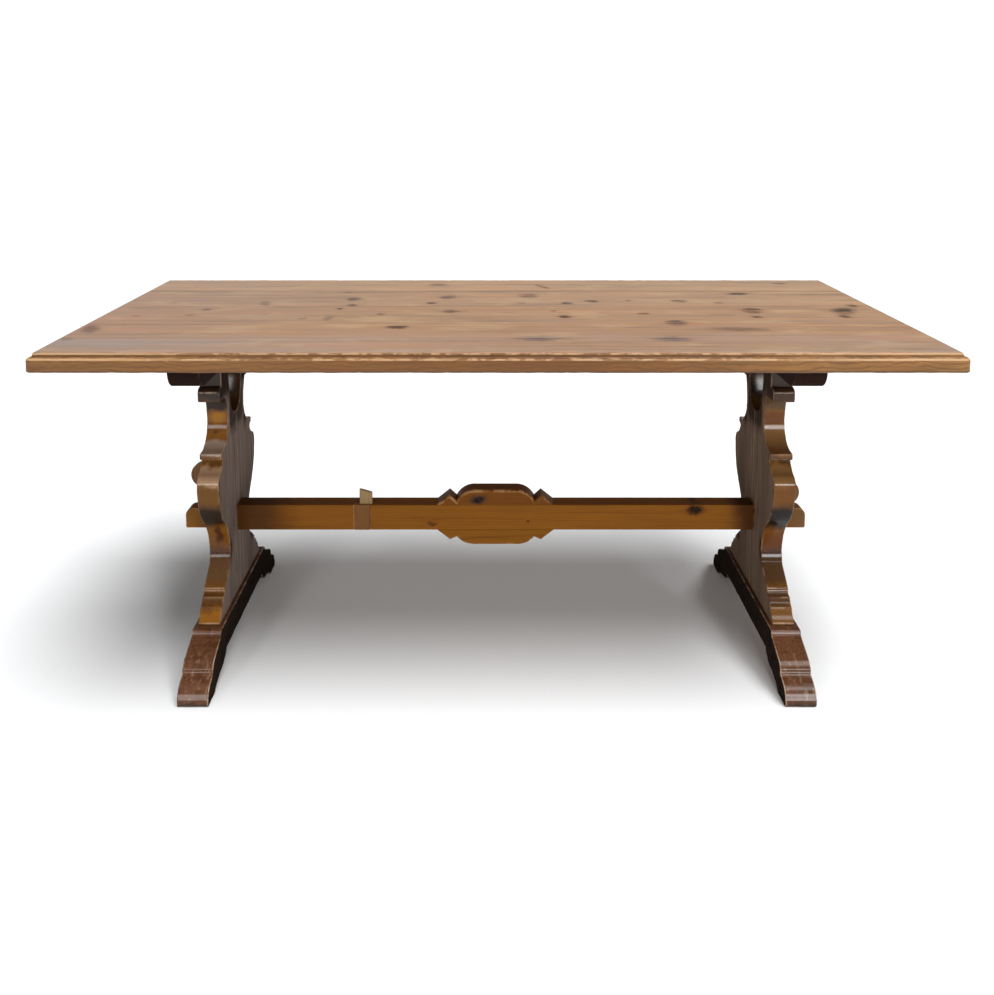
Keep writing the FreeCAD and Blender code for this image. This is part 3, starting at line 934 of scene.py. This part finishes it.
class Bench:
    """Copies a node of the frame and works on the copy."""

    def __init__(self, node: str) -> None:
        """Copy a node's mesh and merge its loose triangles into whole faces.

        Args:
            node: Name of the node in the frame.
        """
        self.node = node
        self.mesh = bmesh.new()
        self.mesh.from_mesh(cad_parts[node].data)
        self.wear = self.mesh.faces.layers.float.new(WEAR_LAYER)
        bmesh.ops.remove_doubles(self.mesh, verts=self.mesh.verts, dist=MERGE_REACH)
        bmesh.ops.dissolve_limit(
            self.mesh, angle_limit=FLAT_ANGLE, verts=self.mesh.verts, edges=self.mesh.edges, delimit=set()
        )

    def limits(self, axis: Grain) -> Span:
        """Give the lowest and highest place of the piece along an axis."""
        places = [vertex.co[axis.value] for vertex in self.mesh.verts]
        return min(places), max(places)

    def cut(self, axis: Grain, where: float) -> None:
        """Cut the faces square to an axis.

        Args:
            axis: The axis.
            where: Place of the cut along it.
        """
        normal = Vector([1.0 if part == axis.value else 0.0 for part in range(3)])
        everything = [*self.mesh.verts, *self.mesh.edges, *self.mesh.faces]
        bmesh.ops.bisect_plane(
            self.mesh, geom=everything, dist=MERGE_REACH, plane_co=normal * where, plane_no=normal
        )

    def slice(self, axis: Grain, spacing: float) -> None:
        """Cut the faces square to one axis at a steady spacing, so that they can be dented.

        Args:
            axis: The axis.
            spacing: Distance from one cut to the next.
        """
        low, high = self.limits(axis)
        count = int((high - low) / spacing)
        for number in range(1, count + 1):
            self.cut(axis, low + (high - low) * number / (count + 1))

    def ease(
        self, reach: float, steps: int = 3, wear: float = 1.0, chosen: EdgeTest = lambda edge: True,
        held: bool = True,
    ) -> None:
        """Round the sharp arrises over and mark the new faces as worn.

        Args:
            reach: How far the rounding goes from the arris.
            steps: Faces across the rounding.
            wear: Mark to leave on them, from 0 to 1.
            chosen: Test that picks among the sharp edges.
            held: Whether the reach is held to what the shortest edge beside an arris allows.
        """
        arrises = [
            edge for edge in self.mesh.edges
            if edge.is_convex and edge.calc_face_angle(0.0) > SHARP_ANGLE and chosen(edge)
        ]
        made = bmesh.ops.bevel(
            self.mesh, geom=arrises, offset=reach, offset_type="OFFSET", segments=steps, profile=0.5,
            affect="EDGES", clamp_overlap=held, loop_slide=True, material=-1,
        )
        for face in made["faces"]:
            face[self.wear] = wear

    def on_outline(self, axis: Grain) -> EdgeTest:
        """Make a test for the edges that lie in the piece's two outermost planes across an axis.

        Args:
            axis: Axis that the planes are square to.

        Returns:
            The test.
        """
        planes = self.limits(axis)
        return lambda edge: any(
            all(abs(vertex.co[axis.value] - plane) < SAME_PLACE for vertex in edge.verts) for plane in planes
        )

    def is_worn(self, vertex: bmesh.types.BMVert) -> bool:
        """Tell whether a vertex is on a worn face."""
        return any(face[self.wear] > 0 for face in vertex.link_faces)

    def dent(
        self, depth: float, scale: float, seed: float,
        chosen: Callable[[bmesh.types.BMVert], bool] | None = None,
    ) -> None:
        """Push vertices into the wood by an uneven depth.

        Args:
            depth: Greatest depth.
            scale: How many dents there are to a metre.
            seed: Moves the dents, so that two pieces differ.
            chosen: Test that picks the vertices, or None for those of worn faces.
        """
        self.mesh.normal_update()
        pushes = []
        for vertex in filter(chosen or self.is_worn, self.mesh.verts):
            rough = noise.fractal(vertex.co * scale + Vector((seed, seed, seed)), 1.0, 2.0, 3)
            pushes.append((vertex, vertex.normal * (-depth * min(1.0, max(0.0, 0.5 + rough)))))
        for vertex, push in pushes:
            vertex.co += push

    def shelve(
        self, finish: PineFinish, dull: PineFinish | None = None,
        is_dull: Callable[[Vector], bool] = is_flank, body: str = "table",
    ) -> None:
        """Turn the worked mesh into the object that stands for the node.

        Args:
            finish: Finish of the piece.
            dull: Finish of its dull faces, or None where it has none.
            is_dull: Test that tells a dull face by its normal.
            body: Body of the frame that it rides on.
        """
        name = "pine_" + self.node
        data = bpy.data.meshes.new(name)
        if dull:
            self.mesh.normal_update()
            for face in self.mesh.faces:
                face.material_index = int(is_dull(face.normal))
        self.mesh.to_mesh(data)
        self.mesh.free()
        for each in (finish, dull) if dull else (finish,):
            data.materials.append(each.make())
        data.shade_smooth()
        data.set_sharp_from_angle(angle=SMOOTH_ANGLE)
        piece = put(name, data)
        even = piece.modifiers.new("even_shading", "WEIGHTED_NORMAL")
        even.keep_sharp = True
        even.mode = "FACE_AREA"
        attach(piece, body)
        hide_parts(self.node)
        log.info("%s: %d faces on %s", name, len(data.polygons), body)


@dataclass(frozen=True)
class BoardLog:
    """The log that a board of the top comes from.

    Attributes:
        tone: Tint of its wood; the paler, bluer tints of the back boards are painted sheen.
        lean: How far behind the board's middle its pith lies.
        depth: How far under the board its pith lies.
    """

    tone: Colour
    lean: float
    depth: float


def top_knots() -> tuple[Knot, ...]:
    """Give the knots of the top, from one row each: place and size in millimetres, tilt and tone.

    Returns:
        The knots.
    """
    dark, brown, blue, faint = KnotTone.DARK, KnotTone.BROWN, KnotTone.BLUE, KnotTone.FAINT
    rows = (
        (-856, -221, 35, 75, 15, dark),
        (-867, -321, 30, 25, 0, dark),
        (-774, 89, 30, 24, 0, faint),
        (-669, -3, 24, 26, 0, blue),
        (-689, -66, 18, 16, 0, brown),
        (-809, -74, 20, 18, 0, faint),
        (-549, 79, 25, 60, 12, faint),
        (-524, -49, 18, 14, 0, brown),
        (-429, -108, 18, 18, 0, brown),
        (-374, -101, 22, 50, 0, faint),
        (-372, 234, 22, 18, 0, faint),
        (-344, 142, 30, 50, -8, blue),
        (-341, 56, 25, 30, 0, blue),
        (-364, 12, 18, 22, 0, brown),
        (-262, -56, 18, 22, 0, brown),
        (-212, -199, 42, 35, 0, dark),
        (-149, 359, 40, 50, 0, faint),
        (-154, 84, 22, 25, 0, dark),
        (-116, 169, 35, 55, -15, blue),
        (-104, -21, 38, 28, 0, dark),
        (84, 184, 45, 50, 0, blue),
        (61, 87, 25, 25, 0, faint),
        (126, 324, 12, 70, 25, brown),
        (132, -18, 14, 25, 0, dark),
        (153, -83, 25, 30, 0, dark),
        (171, 82, 28, 28, 0, blue),
        (234, 109, 28, 28, 0, blue),
        (321, 116, 16, 16, 0, faint),
        (446, 109, 38, 35, 0, blue),
        (534, 87, 22, 20, 0, faint),
        (334, -48, 28, 22, 0, brown),
        (391, -156, 40, 60, 0, blue),
        (511, -221, 110, 45, -8, faint),
        (611, 214, 50, 35, 10, blue),
        (591, -11, 45, 65, -20, dark),
        (583, -88, 28, 25, 0, brown),
        (801, -16, 50, 85, -20, dark),
        (843, 49, 25, 40, 0, dark),
        (781, -84, 25, 35, 0, brown),
        (84, -311, 85, 45, 0, blue),
        (353, -318, 75, 40, 0, blue),
        (761, 379, 30, 30, 0, faint),
    )
    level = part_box("top_board_1")[1].z
    return tuple(
        Knot((x / 1000, y / 1000, level), (width / 1000, depth / 1000), turn, tone)
        for x, y, width, depth, turn, tone in rows
    )


@dataclass
class PlankTop:
    """The five boards of the top, with the moulding round them."""

    # Width of the moulding, and easing of the joints
    moulding_width: float = 0.017
    joint_ease: float = 0.0006

    # Knocks on the moulding, how many to a metre, and the cuts that make room for them
    dent_depth: float = 0.0007
    dent_scale: float = 55.0
    slice_spacing: float = 0.012

    # Corners in plan, in faces to a quarter
    corner_radius: float = 0.014
    corner_cuts: int = 6

    # Bloomed varnish with painted sheen, in shares of the half width, and how far past a board its knots may
    # lie
    haze: Span = (-0.93, -0.78)
    knot_reach: float = 0.03

    # How dark each joint is, and the log of each board, from the front; the tints grow paler and bluer
    # towards the back as painted sheen
    seam_strengths: tuple[float, ...] = (0.22, 0.28, 0.55, 0.80)
    logs: tuple[BoardLog, ...] = (
        BoardLog((0.97, 1.02, 1.03), 0.02, 0.09),
        BoardLog((1.06, 1.10, 1.10), -0.03, 0.055),
        BoardLog((1.02, 1.11, 1.16), 0.01, 0.12),
        BoardLog((1.11, 1.24, 1.34), 0.04, 0.07),
        BoardLog((1.13, 1.31, 1.45), -0.02, 0.10),
    )
    knots: tuple[Knot, ...] = field(default_factory=top_knots)

    def __post_init__(self) -> None:
        """Read the places of the top and its joints from the frame."""
        boxes = [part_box(f"top_board_{number}") for number in range(1, len(self.logs) + 1)]
        self.low = Vector([min(box[0][axis] for box in boxes) for axis in range(3)])
        self.high = Vector([max(box[1][axis] for box in boxes) for axis in range(3)])
        self.spans = [(box[0].y, box[1].y) for box in boxes]
        self.joints = [span[1] for span in self.spans[:-1]]

    def finish(self, number: int) -> TopFinish:
        """Finish of one board, with its own log, tone and knots.

        Args:
            number: Number of the board, from 0 at the front.

        Returns:
            The finish.
        """
        front, back = self.spans[number]
        log_cut = self.logs[number]
        coloured = ("pale", "line", "cloud", "warm", "dusk")
        return replace(
            TOP_PINE,
            name=f"top_pine_{number + 1}",
            **{name: tinted(getattr(TOP_PINE, name), log_cut.tone) for name in coloured},
            pith=(0.0, (front + back) / 2 + log_cut.lean, self.low.z - log_cut.depth),
            knots=tuple(
                knot for knot in self.knots
                if front - self.knot_reach < knot.place[1] < back + self.knot_reach
            ),
            shift=number * 3.7,
            level=self.high.z,
            bottom=self.low.z,
            end=self.high.x,
            haze=(self.high.y * self.haze[0], self.high.y * self.haze[1]),
            seams=tuple(
                seam for seam in zip(self.joints, self.seam_strengths)
                if front - SAME_PLACE < seam[0] < back + SAME_PLACE
            ),
        )

    def round_corners(self, bench: Bench) -> None:
        """Round a board's outer corners in plan; the moulding follows them.

        Args:
            bench: Bench that holds the board.
        """
        start = (self.high.x - self.corner_radius, self.high.y - self.corner_radius)
        for axis, inner in zip((Grain.LENGTH, Grain.DEPTH), start):
            for cut in range(self.corner_cuts):
                reach = inner + self.corner_radius * cut / self.corner_cuts
                bench.cut(axis, reach)
                bench.cut(axis, -reach)
        for vertex in bench.mesh.verts:
            past = Vector((abs(vertex.co.x) - start[0], abs(vertex.co.y) - start[1]))
            if min(past) > 0:
                past *= max(past) / past.length
                vertex.co.x = math.copysign(start[0] + past.x, vertex.co.x)
                vertex.co.y = math.copysign(start[1] + past.y, vertex.co.y)

    def on_moulding(self, vertex: bmesh.types.BMVert) -> bool:
        """Tell whether a vertex is on the moulding and clear of every joint.

        Args:
            vertex: Vertex of a board.

        Returns:
            True if it is.
        """
        place = vertex.co
        inset = min(self.high.x - abs(place.x), self.high.y - abs(place.y))
        clear = all(abs(place.y - joint) > self.slice_spacing / 8 for joint in self.joints)
        return clear and inset < self.moulding_width + SAME_PLACE

    def on_joint(self, edge: bmesh.types.BMEdge) -> bool:
        """Tell whether an edge runs along a joint at the flat.

        Args:
            edge: Edge of a board.

        Returns:
            True if it does.
        """
        return all(
            abs(vertex.co.z - self.high.z) < SAME_PLACE
            and any(abs(vertex.co.y - joint) < SAME_PLACE for joint in self.joints)
            for vertex in edge.verts
        )

    def build(self) -> None:
        """Build and finish the five boards."""
        for number in range(len(self.logs)):
            bench = Bench(f"top_board_{number + 1}")
            bench.slice(Grain.LENGTH, self.slice_spacing)
            self.round_corners(bench)
            bench.dent(self.dent_depth, self.dent_scale, number * 5.3, self.on_moulding)
            bench.ease(self.joint_ease, steps=2, wear=0.0, chosen=self.on_joint)
            finish = self.finish(number)
            under = replace(SHADED_UNDER_PINE, name=finish.name + "_under", pith=finish.pith, shift=finish.shift)
            bench.shelve(finish, under, is_underside)


@dataclass(frozen=True)
class Mark:
    """A band of colour across the sawn edge of a trestle board; most bands are painted light and painted
    shade, a few are stained wood.

    Attributes:
        height: Height of its middle.
        spread: How much of the height it covers.
        colour: Its colour.
        strength: How much of it shows.
        width: Its width along the table, by default past both faces of the board.
    """

    height: float
    spread: float
    colour: Colour
    strength: float
    width: float = 0.200


# Bands on the edges of the boards that look worn, by height: mostly painted light where the edge faces up to
# the light and painted shade where it is hidden, with a few stained patches
WORN_BOARD_LIGHT_AND_SHADE = (
    Mark(0.574, 0.044, (0.012, 0.005, 0.002), 0.97),
    Mark(0.537, 0.040, (0.125, 0.036, 0.002), 0.80),
    Mark(0.541, 0.030, (0.270, 0.110, 0.001), 0.85, 0.044),
    Mark(0.500, 0.030, (0.240, 0.095, 0.020), 0.80),
    Mark(0.482, 0.022, (0.420, 0.320, 0.250), 0.80),
    Mark(0.434, 0.036, (0.46, 0.290, 0.170), 0.80),
    Mark(0.463, 0.022, (0.110, 0.045, 0.010), 0.85),
    Mark(0.390, 0.050, (0.118, 0.046, 0.000), 0.94),
    Mark(0.334, 0.074, (0.010, 0.004, 0.001), 0.95),
    Mark(0.262, 0.066, (0.150, 0.052, 0.006), 0.80),
    Mark(0.272, 0.060, (0.036, 0.009, 0.003), 0.80, 0.020),
    Mark(0.196, 0.046, (0.125, 0.070, 0.036), 0.65),
    Mark(0.150, 0.022, (0.070, 0.030, 0.012), 0.65),
    Mark(0.122, 0.024, (0.30, 0.115, 0.010), 0.60),
)

# Bands on the edges of the other boards, by height: likewise mostly painted light and painted shade
DARK_BOARD_LIGHT_AND_SHADE = (
    Mark(0.574, 0.040, (0.075, 0.040, 0.014), 0.85),
    Mark(0.540, 0.036, (0.108, 0.030, 0.004), 0.85),
    Mark(0.500, 0.050, (0.190, 0.100, 0.040), 0.75),
    Mark(0.434, 0.036, (0.240, 0.125, 0.045), 0.75),
    Mark(0.463, 0.022, (0.060, 0.034, 0.018), 0.85),
    Mark(0.390, 0.050, (0.128, 0.044, 0.001), 0.92),
    Mark(0.330, 0.084, (0.002, 0.001, 0.001), 0.97),
    Mark(0.256, 0.056, (0.115, 0.032, 0.003), 0.85),
    Mark(0.196, 0.056, (0.050, 0.026, 0.012), 0.80),
    Mark(0.150, 0.036, (0.055, 0.027, 0.012), 0.80),
    Mark(0.118, 0.020, (0.150, 0.064, 0.018), 0.60),
)


@dataclass
class Trestle:
    """One trestle: two scroll-sawn boards, the bearer on them and the sledge foot under them."""

    side: Side

    # Where it stands, and where the bands of painted light and shade lie on its edges, deep enough to reach
    # its neck and waist
    middle: float = 0.6325
    edge: float = 0.19
    edge_depth: float = 1.0

    # Rounding of the arrises, the knocks on them, and the spacing of the cuts in the foot
    board_ease: float = 0.0028
    bearer_ease: float = 0.0022
    foot_ease: float = 0.0026
    knock_depth: float = 0.0007
    foot_spacing: float = 0.012

    # Colours of the dull flanks, whose grey is partly painted sheen, and how much painted shade covers the
    # heads of the boards
    flank_pale: dict[Side, Colour] = field(
        default_factory=lambda: {Side.LEFT: (0.235, 0.180, 0.152), Side.RIGHT: (0.205, 0.140, 0.098)}
    )
    flank_cloud: dict[Side, Colour] = field(
        default_factory=lambda: {Side.LEFT: (0.130, 0.096, 0.080), Side.RIGHT: (0.110, 0.070, 0.048)}
    )
    flank_line: Colour = (0.050, 0.034, 0.027)
    soot_shares: dict[Side, float] = field(default_factory=lambda: {Side.LEFT: 0.95, Side.RIGHT: 0.86})

    def knots(self, end: End) -> tuple[Knot, ...]:
        """Give the knots of one board.

        Args:
            end: Which board.

        Returns:
            Its knots.
        """
        x = self.side.value * self.middle
        if end is End.BACK:
            return (
                Knot((x, 0.085, 0.500), (0.030, 0.044), through=Grain.LENGTH),
                Knot((x, 0.120, 0.190), (0.024, 0.034), tone=KnotTone.DARK, through=Grain.LENGTH),
            )
        low_knot = Knot((x, -0.090, 0.235), (0.034, 0.052), through=Grain.LENGTH)
        neck_knot = Knot((x - 0.006, -0.118, 0.505), (0.011, 0.012), turn=10.0, through=Grain.DEPTH)
        return (low_knot, neck_knot) if self.side is Side.LEFT else (low_knot,)

    def stains(self, end: End) -> tuple[Stain, ...]:
        """Give the bands on the sawn edge of one board, mostly painted light and painted shade.

        Args:
            end: Which board.

        Returns:
            Its bands.
        """
        # The boards that look worn get the first table of painted light and shade
        worn = (self.side is Side.LEFT) == (end is End.FRONT)
        x, y = self.side.value * self.middle, end.value * self.edge
        depth = self.edge_depth
        return tuple(
            Stain((x, y, mark.height), (mark.width, depth, mark.spread), mark.colour, mark.strength)
            for mark in (WORN_BOARD_LIGHT_AND_SHADE if worn else DARK_BOARD_LIGHT_AND_SHADE)
        )

    def board_finish(self, end: End) -> TrestleFinish:
        """Finish of one board.

        Args:
            end: Which board.

        Returns:
            The finish.
        """
        low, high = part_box(f"trestle_{self.side.word}_{end.word}")
        return as_kind(
            TrestleFinish, DARK_PINE, name=f"trestle_pine_{self.side.word}_{end.word}", grain=Grain.HEIGHT,
            pith=((low.x + high.x) / 2 - self.side.value * 0.07, end.value * 0.03, 0.0),
            shift=self.side.value * 2.3 + end.value * 0.9, knots=self.knots(end), stains=self.stains(end),
            soot_share=self.soot_shares[self.side],
        )

    def build_board(self, end: End) -> None:
        """Build one board, with dull flanks whose grey colour is partly painted sheen.

        Args:
            end: Which board.
        """
        bench = Bench(f"trestle_{self.side.word}_{end.word}")
        bench.ease(self.board_ease, chosen=away_from_joint)
        bench.dent(self.knock_depth, 60.0, self.side.value * 3.1)
        finish = self.board_finish(end)
        # Dull flanks; their greyish colours are partly painted sheen
        flank = replace(
            finish, name=finish.name + "_flank", pale=self.flank_pale[self.side],
            cloud=self.flank_cloud[self.side], line=self.flank_line, stains=(), streak_strength=0.52,
            roughness=0.72, gloss=0.0, varnish=0.0,
        )
        bench.shelve(finish, flank)

    def build_bearer(self) -> None:
        """Build the bearer."""
        low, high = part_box(f"bearer_{self.side.word}")
        bench = Bench(f"bearer_{self.side.word}")
        bench.ease(self.bearer_ease, chosen=bench.on_outline(Grain.LENGTH))
        finish = replace(
            SHADED_BEARER_PINE, name=f"bearer_pine_{self.side.word}", shift=self.side.value * 1.9,
            pith=((low.x + high.x) / 2, 0.0, high.z + 0.02),
        )
        bench.shelve(finish)

    def build_foot(self) -> None:
        """Build the foot, with flanks painted nearly black as shade."""
        low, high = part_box(f"foot_{self.side.word}")
        bench = Bench(f"foot_{self.side.word}")
        bench.ease(self.foot_ease)
        bench.slice(Grain.DEPTH, self.foot_spacing)
        bench.dent(self.knock_depth, 48.0, self.side.value * 7.7)
        finish = replace(
            FOOT_PINE, name=f"foot_pine_{self.side.word}", shift=self.side.value * 4.1,
            pith=((low.x + high.x) / 2 + 0.02, 0.0, low.z - 0.03),
        )
        # Painted shade: the flanks are nearly black, and their scratches barely show
        flank = replace(
            finish, name=finish.name + "_flank", pale=(0.026, 0.018, 0.014), cloud=(0.014, 0.010, 0.008),
            line=(0.012, 0.008, 0.007), scratch=(0.050, 0.036, 0.028), worn=(0.20, 0.13, 0.085),
            roughness=0.75, gloss=0.0, varnish=0.0,
        )
        bench.shelve(finish, flank)

    def build(self) -> None:
        """Build the boards, the bearer and the foot."""
        for end in End:
            self.build_board(end)
        self.build_bearer()
        self.build_foot()


@dataclass
class Stretcher:
    """The stretcher with its cartouche, its tusk keys and the old repair."""

    # Rounding of the arrises; those of the crest are worn wide
    beam_ease: float = 0.0020
    crest_ease: float = 0.0055
    pendant_ease: float = 0.0040
    patch_ease: float = 0.0006
    wedge_ease: float = 0.0028
    key_ease: float = 0.0022

    # Tints of the crest and the pendant
    crest_tone: Colour = (0.66, 0.62, 0.90)
    pendant_tone: Colour = (0.95, 0.98, 0.90)

    # Knots, with an old nail hole among them; grime and painted shade on the beam beside the trestles; and
    # the worn ends of the beam
    crest_knot: Knot = Knot((-0.042, 0.0, 0.327), (0.034, 0.024), 0.0, KnotTone.DARK, Grain.DEPTH)
    beam_knots: tuple[Knot, ...] = (
        Knot((0.470, 0.0, 0.302), (0.036, 0.024), 0.0, KnotTone.DARK, Grain.DEPTH),
        Knot((0.077, 0.0, 0.276), (0.006, 0.006), 0.0, KnotTone.DARK, Grain.DEPTH),
        Knot((-0.150, 0.0, 0.268), (0.020, 0.010), 0.0, KnotTone.FAINT, Grain.DEPTH),
    )
    beam_stains: tuple[Stain, ...] = (
        # Darker beside the trestles: grime and painted shade
        Stain((-0.610, 0.0, 0.284), (0.270, 1.0, 1.0), (0.042, 0.015, 0.004), 0.80),
        Stain((0.615, 0.0, 0.284), (0.130, 1.0, 1.0), (0.040, 0.016, 0.006), 0.75),
        # Paler worn ends outside the trestles
        Stain((-0.720, 0.0, 0.284), (0.080, 1.0, 1.0), (0.24, 0.100, 0.020), 0.80),
        Stain((0.725, 0.0, 0.284), (0.080, 1.0, 1.0), (0.150, 0.080, 0.036), 0.80),
    )

    def build_beam(self) -> None:
        """Build the beam, whose tenons are eased and whose faces under the crest stay sharp."""
        bench = Bench("stretcher")
        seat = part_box("stretcher_crest")[1].x
        bench.cut(Grain.LENGTH, -seat)
        bench.cut(Grain.LENGTH, seat)
        bench.ease(
            self.beam_ease,
            chosen=lambda edge: any(abs(vertex.co.x) > seat + SAME_PLACE for vertex in edge.verts),
        )
        finish = replace(
            AMBER_PINE, name="stretcher_pine", pith=(0.0, 0.05, 0.20), knot_brown=BLACK_KNOT,
            knot_blue=BLACK_KNOT, knots=self.beam_knots, stains=self.beam_stains,
        )
        bench.shelve(finish)

    def build_ornament(self, word: str, reach: float, tone: Colour, knots: tuple[Knot, ...]) -> None:
        """Build the crest or the pendant.

        Args:
            word: Its word in the node's name.
            reach: Rounding of its front and back arrises.
            tone: Its tint.
            knots: Its knots.
        """
        bench = Bench("stretcher_" + word)
        on_face = bench.on_outline(Grain.DEPTH)
        bench.ease(reach, steps=4, chosen=lambda edge: on_face(edge) and off_beam(edge), held=False)
        finish = replace(
            AMBER_PINE, name=word + "_pine", pith=(0.0, 0.06, 0.22), knots=knots, shift=0.4,
            pale=tinted(AMBER_PINE.pale, tone), cloud=tinted(AMBER_PINE.cloud, tone), knot_brown=BLACK_KNOT,
        )
        bench.shelve(finish)

    def build_key(self, side: Side) -> None:
        """Build the tusk key of one end.

        Args:
            side: End of the table.
        """
        bench = Bench("key_" + side.word)
        bench.ease(self.key_ease)
        finish = replace(
            DARK_PINE, name="key_pine_" + side.word, grain=Grain.HEIGHT, pith=(side.value * 0.68, 0.05, 0.3),
            shift=side.value * 5.0,
        )
        bench.shelve(finish, body=side.word + "_key")

    def build(self) -> None:
        """Build every piece of the stretcher."""
        self.build_beam()
        self.build_ornament("crest", self.crest_ease, self.crest_tone, (self.crest_knot,))
        self.build_ornament("pendant", self.pendant_ease, self.pendant_tone, ())
        bench = Bench("stretcher_patch")
        bench.ease(self.patch_ease, steps=2, wear=0.3)
        bench.shelve(PATCH_PINE)
        bench = Bench("stretcher_wedge")
        bench.ease(self.wedge_ease)
        bench.shelve(BARE_PINE)
        for side in Side:
            self.build_key(side)


@dataclass
class HiddenFittings:
    """The tongues inside the top and the screws up through the bearers, which keep their nodes."""

    screw_node: str = "top_screws"
    tongue_nodes: tuple[str, ...] = ("top_tongue_1", "top_tongue_2", "top_tongue_3", "top_tongue_4")

    def build(self) -> None:
        """Give each node its material."""
        tongue = replace(BARE_PINE, name="tongue_pine", grain=Grain.LENGTH, pith=(0.0, 0.02, 0.70)).make()
        for name in self.tongue_nodes:
            self.dress(name, tongue)
        self.dress(self.screw_node, SteelFinish("screw_steel").make())

    def dress(self, name: str, material: bpy.types.Material) -> None:
        """Give the node of this name a material."""
        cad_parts[name].material_slots[0].material = material
        log.info("%s: dressed", name)


@dataclass(frozen=True)
class Window:
    """A broad low light behind the camera.

    Attributes:
        name: Name of the light.
        place: Its middle.
        power: Its power in watts.
        width: Its width.
        height: Its height.
    """

    name: str
    place: Place
    power: float
    width: float = 0.8
    height: float = 1.4


@dataclass
class Studio:
    """The pale floor, the soft lights and the camera."""

    # Side and colour of the floor
    floor_size: float = 400.0
    floor_colour: Colour = (0.880, 0.893, 0.902)

    # Camera, its dip in degrees, its focal length in millimetres, its sideways and upward shift
    camera_place: Place = (-0.0239, -2.3906, 1.2257)
    camera_dip: float = 7.08
    lens: float = 37.91
    shift: Span = (0.0117, -0.255)

    # Room light: sines of the heights where wall turns into ceiling, and the light of each part
    wall_top: float = 0.26
    ceiling_start: float = 0.50
    backdrop_light: float = 1.06
    wall_light: float = 0.175
    ceiling_light: float = 0.165

    # Softbox overhead: its light, its width in degrees, and the direction towards it
    softbox_power: float = 3.86
    softbox_spread: float = 44.0
    softbox_lean: Place = (0.25, -0.255, 1.0)

    # Windows behind the camera, and the point that they face
    aim: Place = (0.0, 0.0, 0.4)
    windows: tuple[Window, ...] = (
        Window("window_right", (2.05, -5.0, 2.1), 95.0),
        Window("window_left", (-2.0, -5.0, 2.1), 48.0),
    )

    def lay_floor(self) -> None:
        """Lay the floor."""
        mesh = bmesh.new()
        bmesh.ops.create_grid(mesh, x_segments=1, y_segments=1, size=self.floor_size / 2)
        data = bpy.data.meshes.new("floor")
        mesh.to_mesh(data)
        mesh.free()
        paint = NodeSheet(bpy.data.materials.new("studio_floor"))
        data.materials.append(paint.finish("BsdfDiffuse", Color=(*self.floor_colour, 1.0)))
        put("floor", data)

    def hang(self, name: str, kind: str, place: Vector, toward: Vector, **settings: object) -> None:
        """Hang a light.

        Args:
            name: Its name.
            kind: Blender's kind of light.
            place: Its middle.
            toward: Direction from what it lights towards the light.
            **settings: Properties to set on it.
        """
        data = bpy.data.lights.new(name, kind)
        for key, value in settings.items():
            setattr(data, key, value)
        light = put(name, data)
        light.location = place
        light.rotation_euler = toward.to_track_quat("Z", "Y").to_euler()

    def hang_lights(self) -> None:
        """Hang the large soft light overhead and the windows behind the camera."""
        lean = Vector(self.softbox_lean)
        spread = math.radians(self.softbox_spread)
        self.hang("softbox", "SUN", lean * 3.0, lean, energy=self.softbox_power, angle=spread)
        for window in self.windows:
            place = Vector(window.place)
            self.hang(
                window.name, "AREA", place, place - Vector(self.aim), shape="RECTANGLE", size=window.width,
                size_y=window.height, energy=window.power,
            )

    def light_room(self) -> None:
        """Light the room: dim walls and ceiling, and a white backdrop that only the camera sees."""
        sheet = NodeSheet(bpy.data.worlds.new("studio"))
        height = sheet.axis(sheet.add("TexCoord").outputs["Generated"], Grain.HEIGHT)
        inputs = {
            "Value": height, "From Min": self.wall_top, "From Max": self.ceiling_start,
            "To Min": self.wall_light, "To Max": self.ceiling_light,
        }
        level = sheet.add("MapRange", inputs, interpolation_type="SMOOTHSTEP").outputs["Result"]
        seen = sheet.add("LightPath").outputs["Is Camera Ray"]
        strength = sheet.add("Mix", {"Factor": seen, "A": level, "B": self.backdrop_light}).outputs["Result"]
        backdrop = sheet.add("Background", {"Color": (1.0, 1.0, 1.0, 1.0), "Strength": strength})
        sheet.add("OutputWorld", {"Surface": backdrop.outputs[0]})
        bpy.context.scene.world = sheet.owner

    def stand_camera(self) -> None:
        """Stand the camera where the photograph was taken from."""
        data = bpy.data.cameras.new("camera")
        data.lens = self.lens
        data.shift_x, data.shift_y = self.shift
        camera = put("camera", data)
        camera.location = self.camera_place
        camera.rotation_euler = (math.radians(90.0 - self.camera_dip), 0.0, 0.0)
        bpy.context.scene.camera = camera

    def build(self) -> None:
        """Build the studio."""
        self.lay_floor()
        self.light_room()
        self.hang_lights()
        self.stand_camera()
        bpy.context.scene.view_settings.view_transform = "Standard"
        log.info("studio: floor, room light, softbox, windows and camera")


def main() -> None:
    """Build the table piece by piece, then the studio."""
    logging.basicConfig(level=logging.INFO, format="%(name)s: %(message)s")
    PlankTop().build()
    for side in Side:
        Trestle(side).build()
    Stretcher().build()
    HiddenFittings().build()
    Studio().build()


if __name__ == "__main__":
    main()
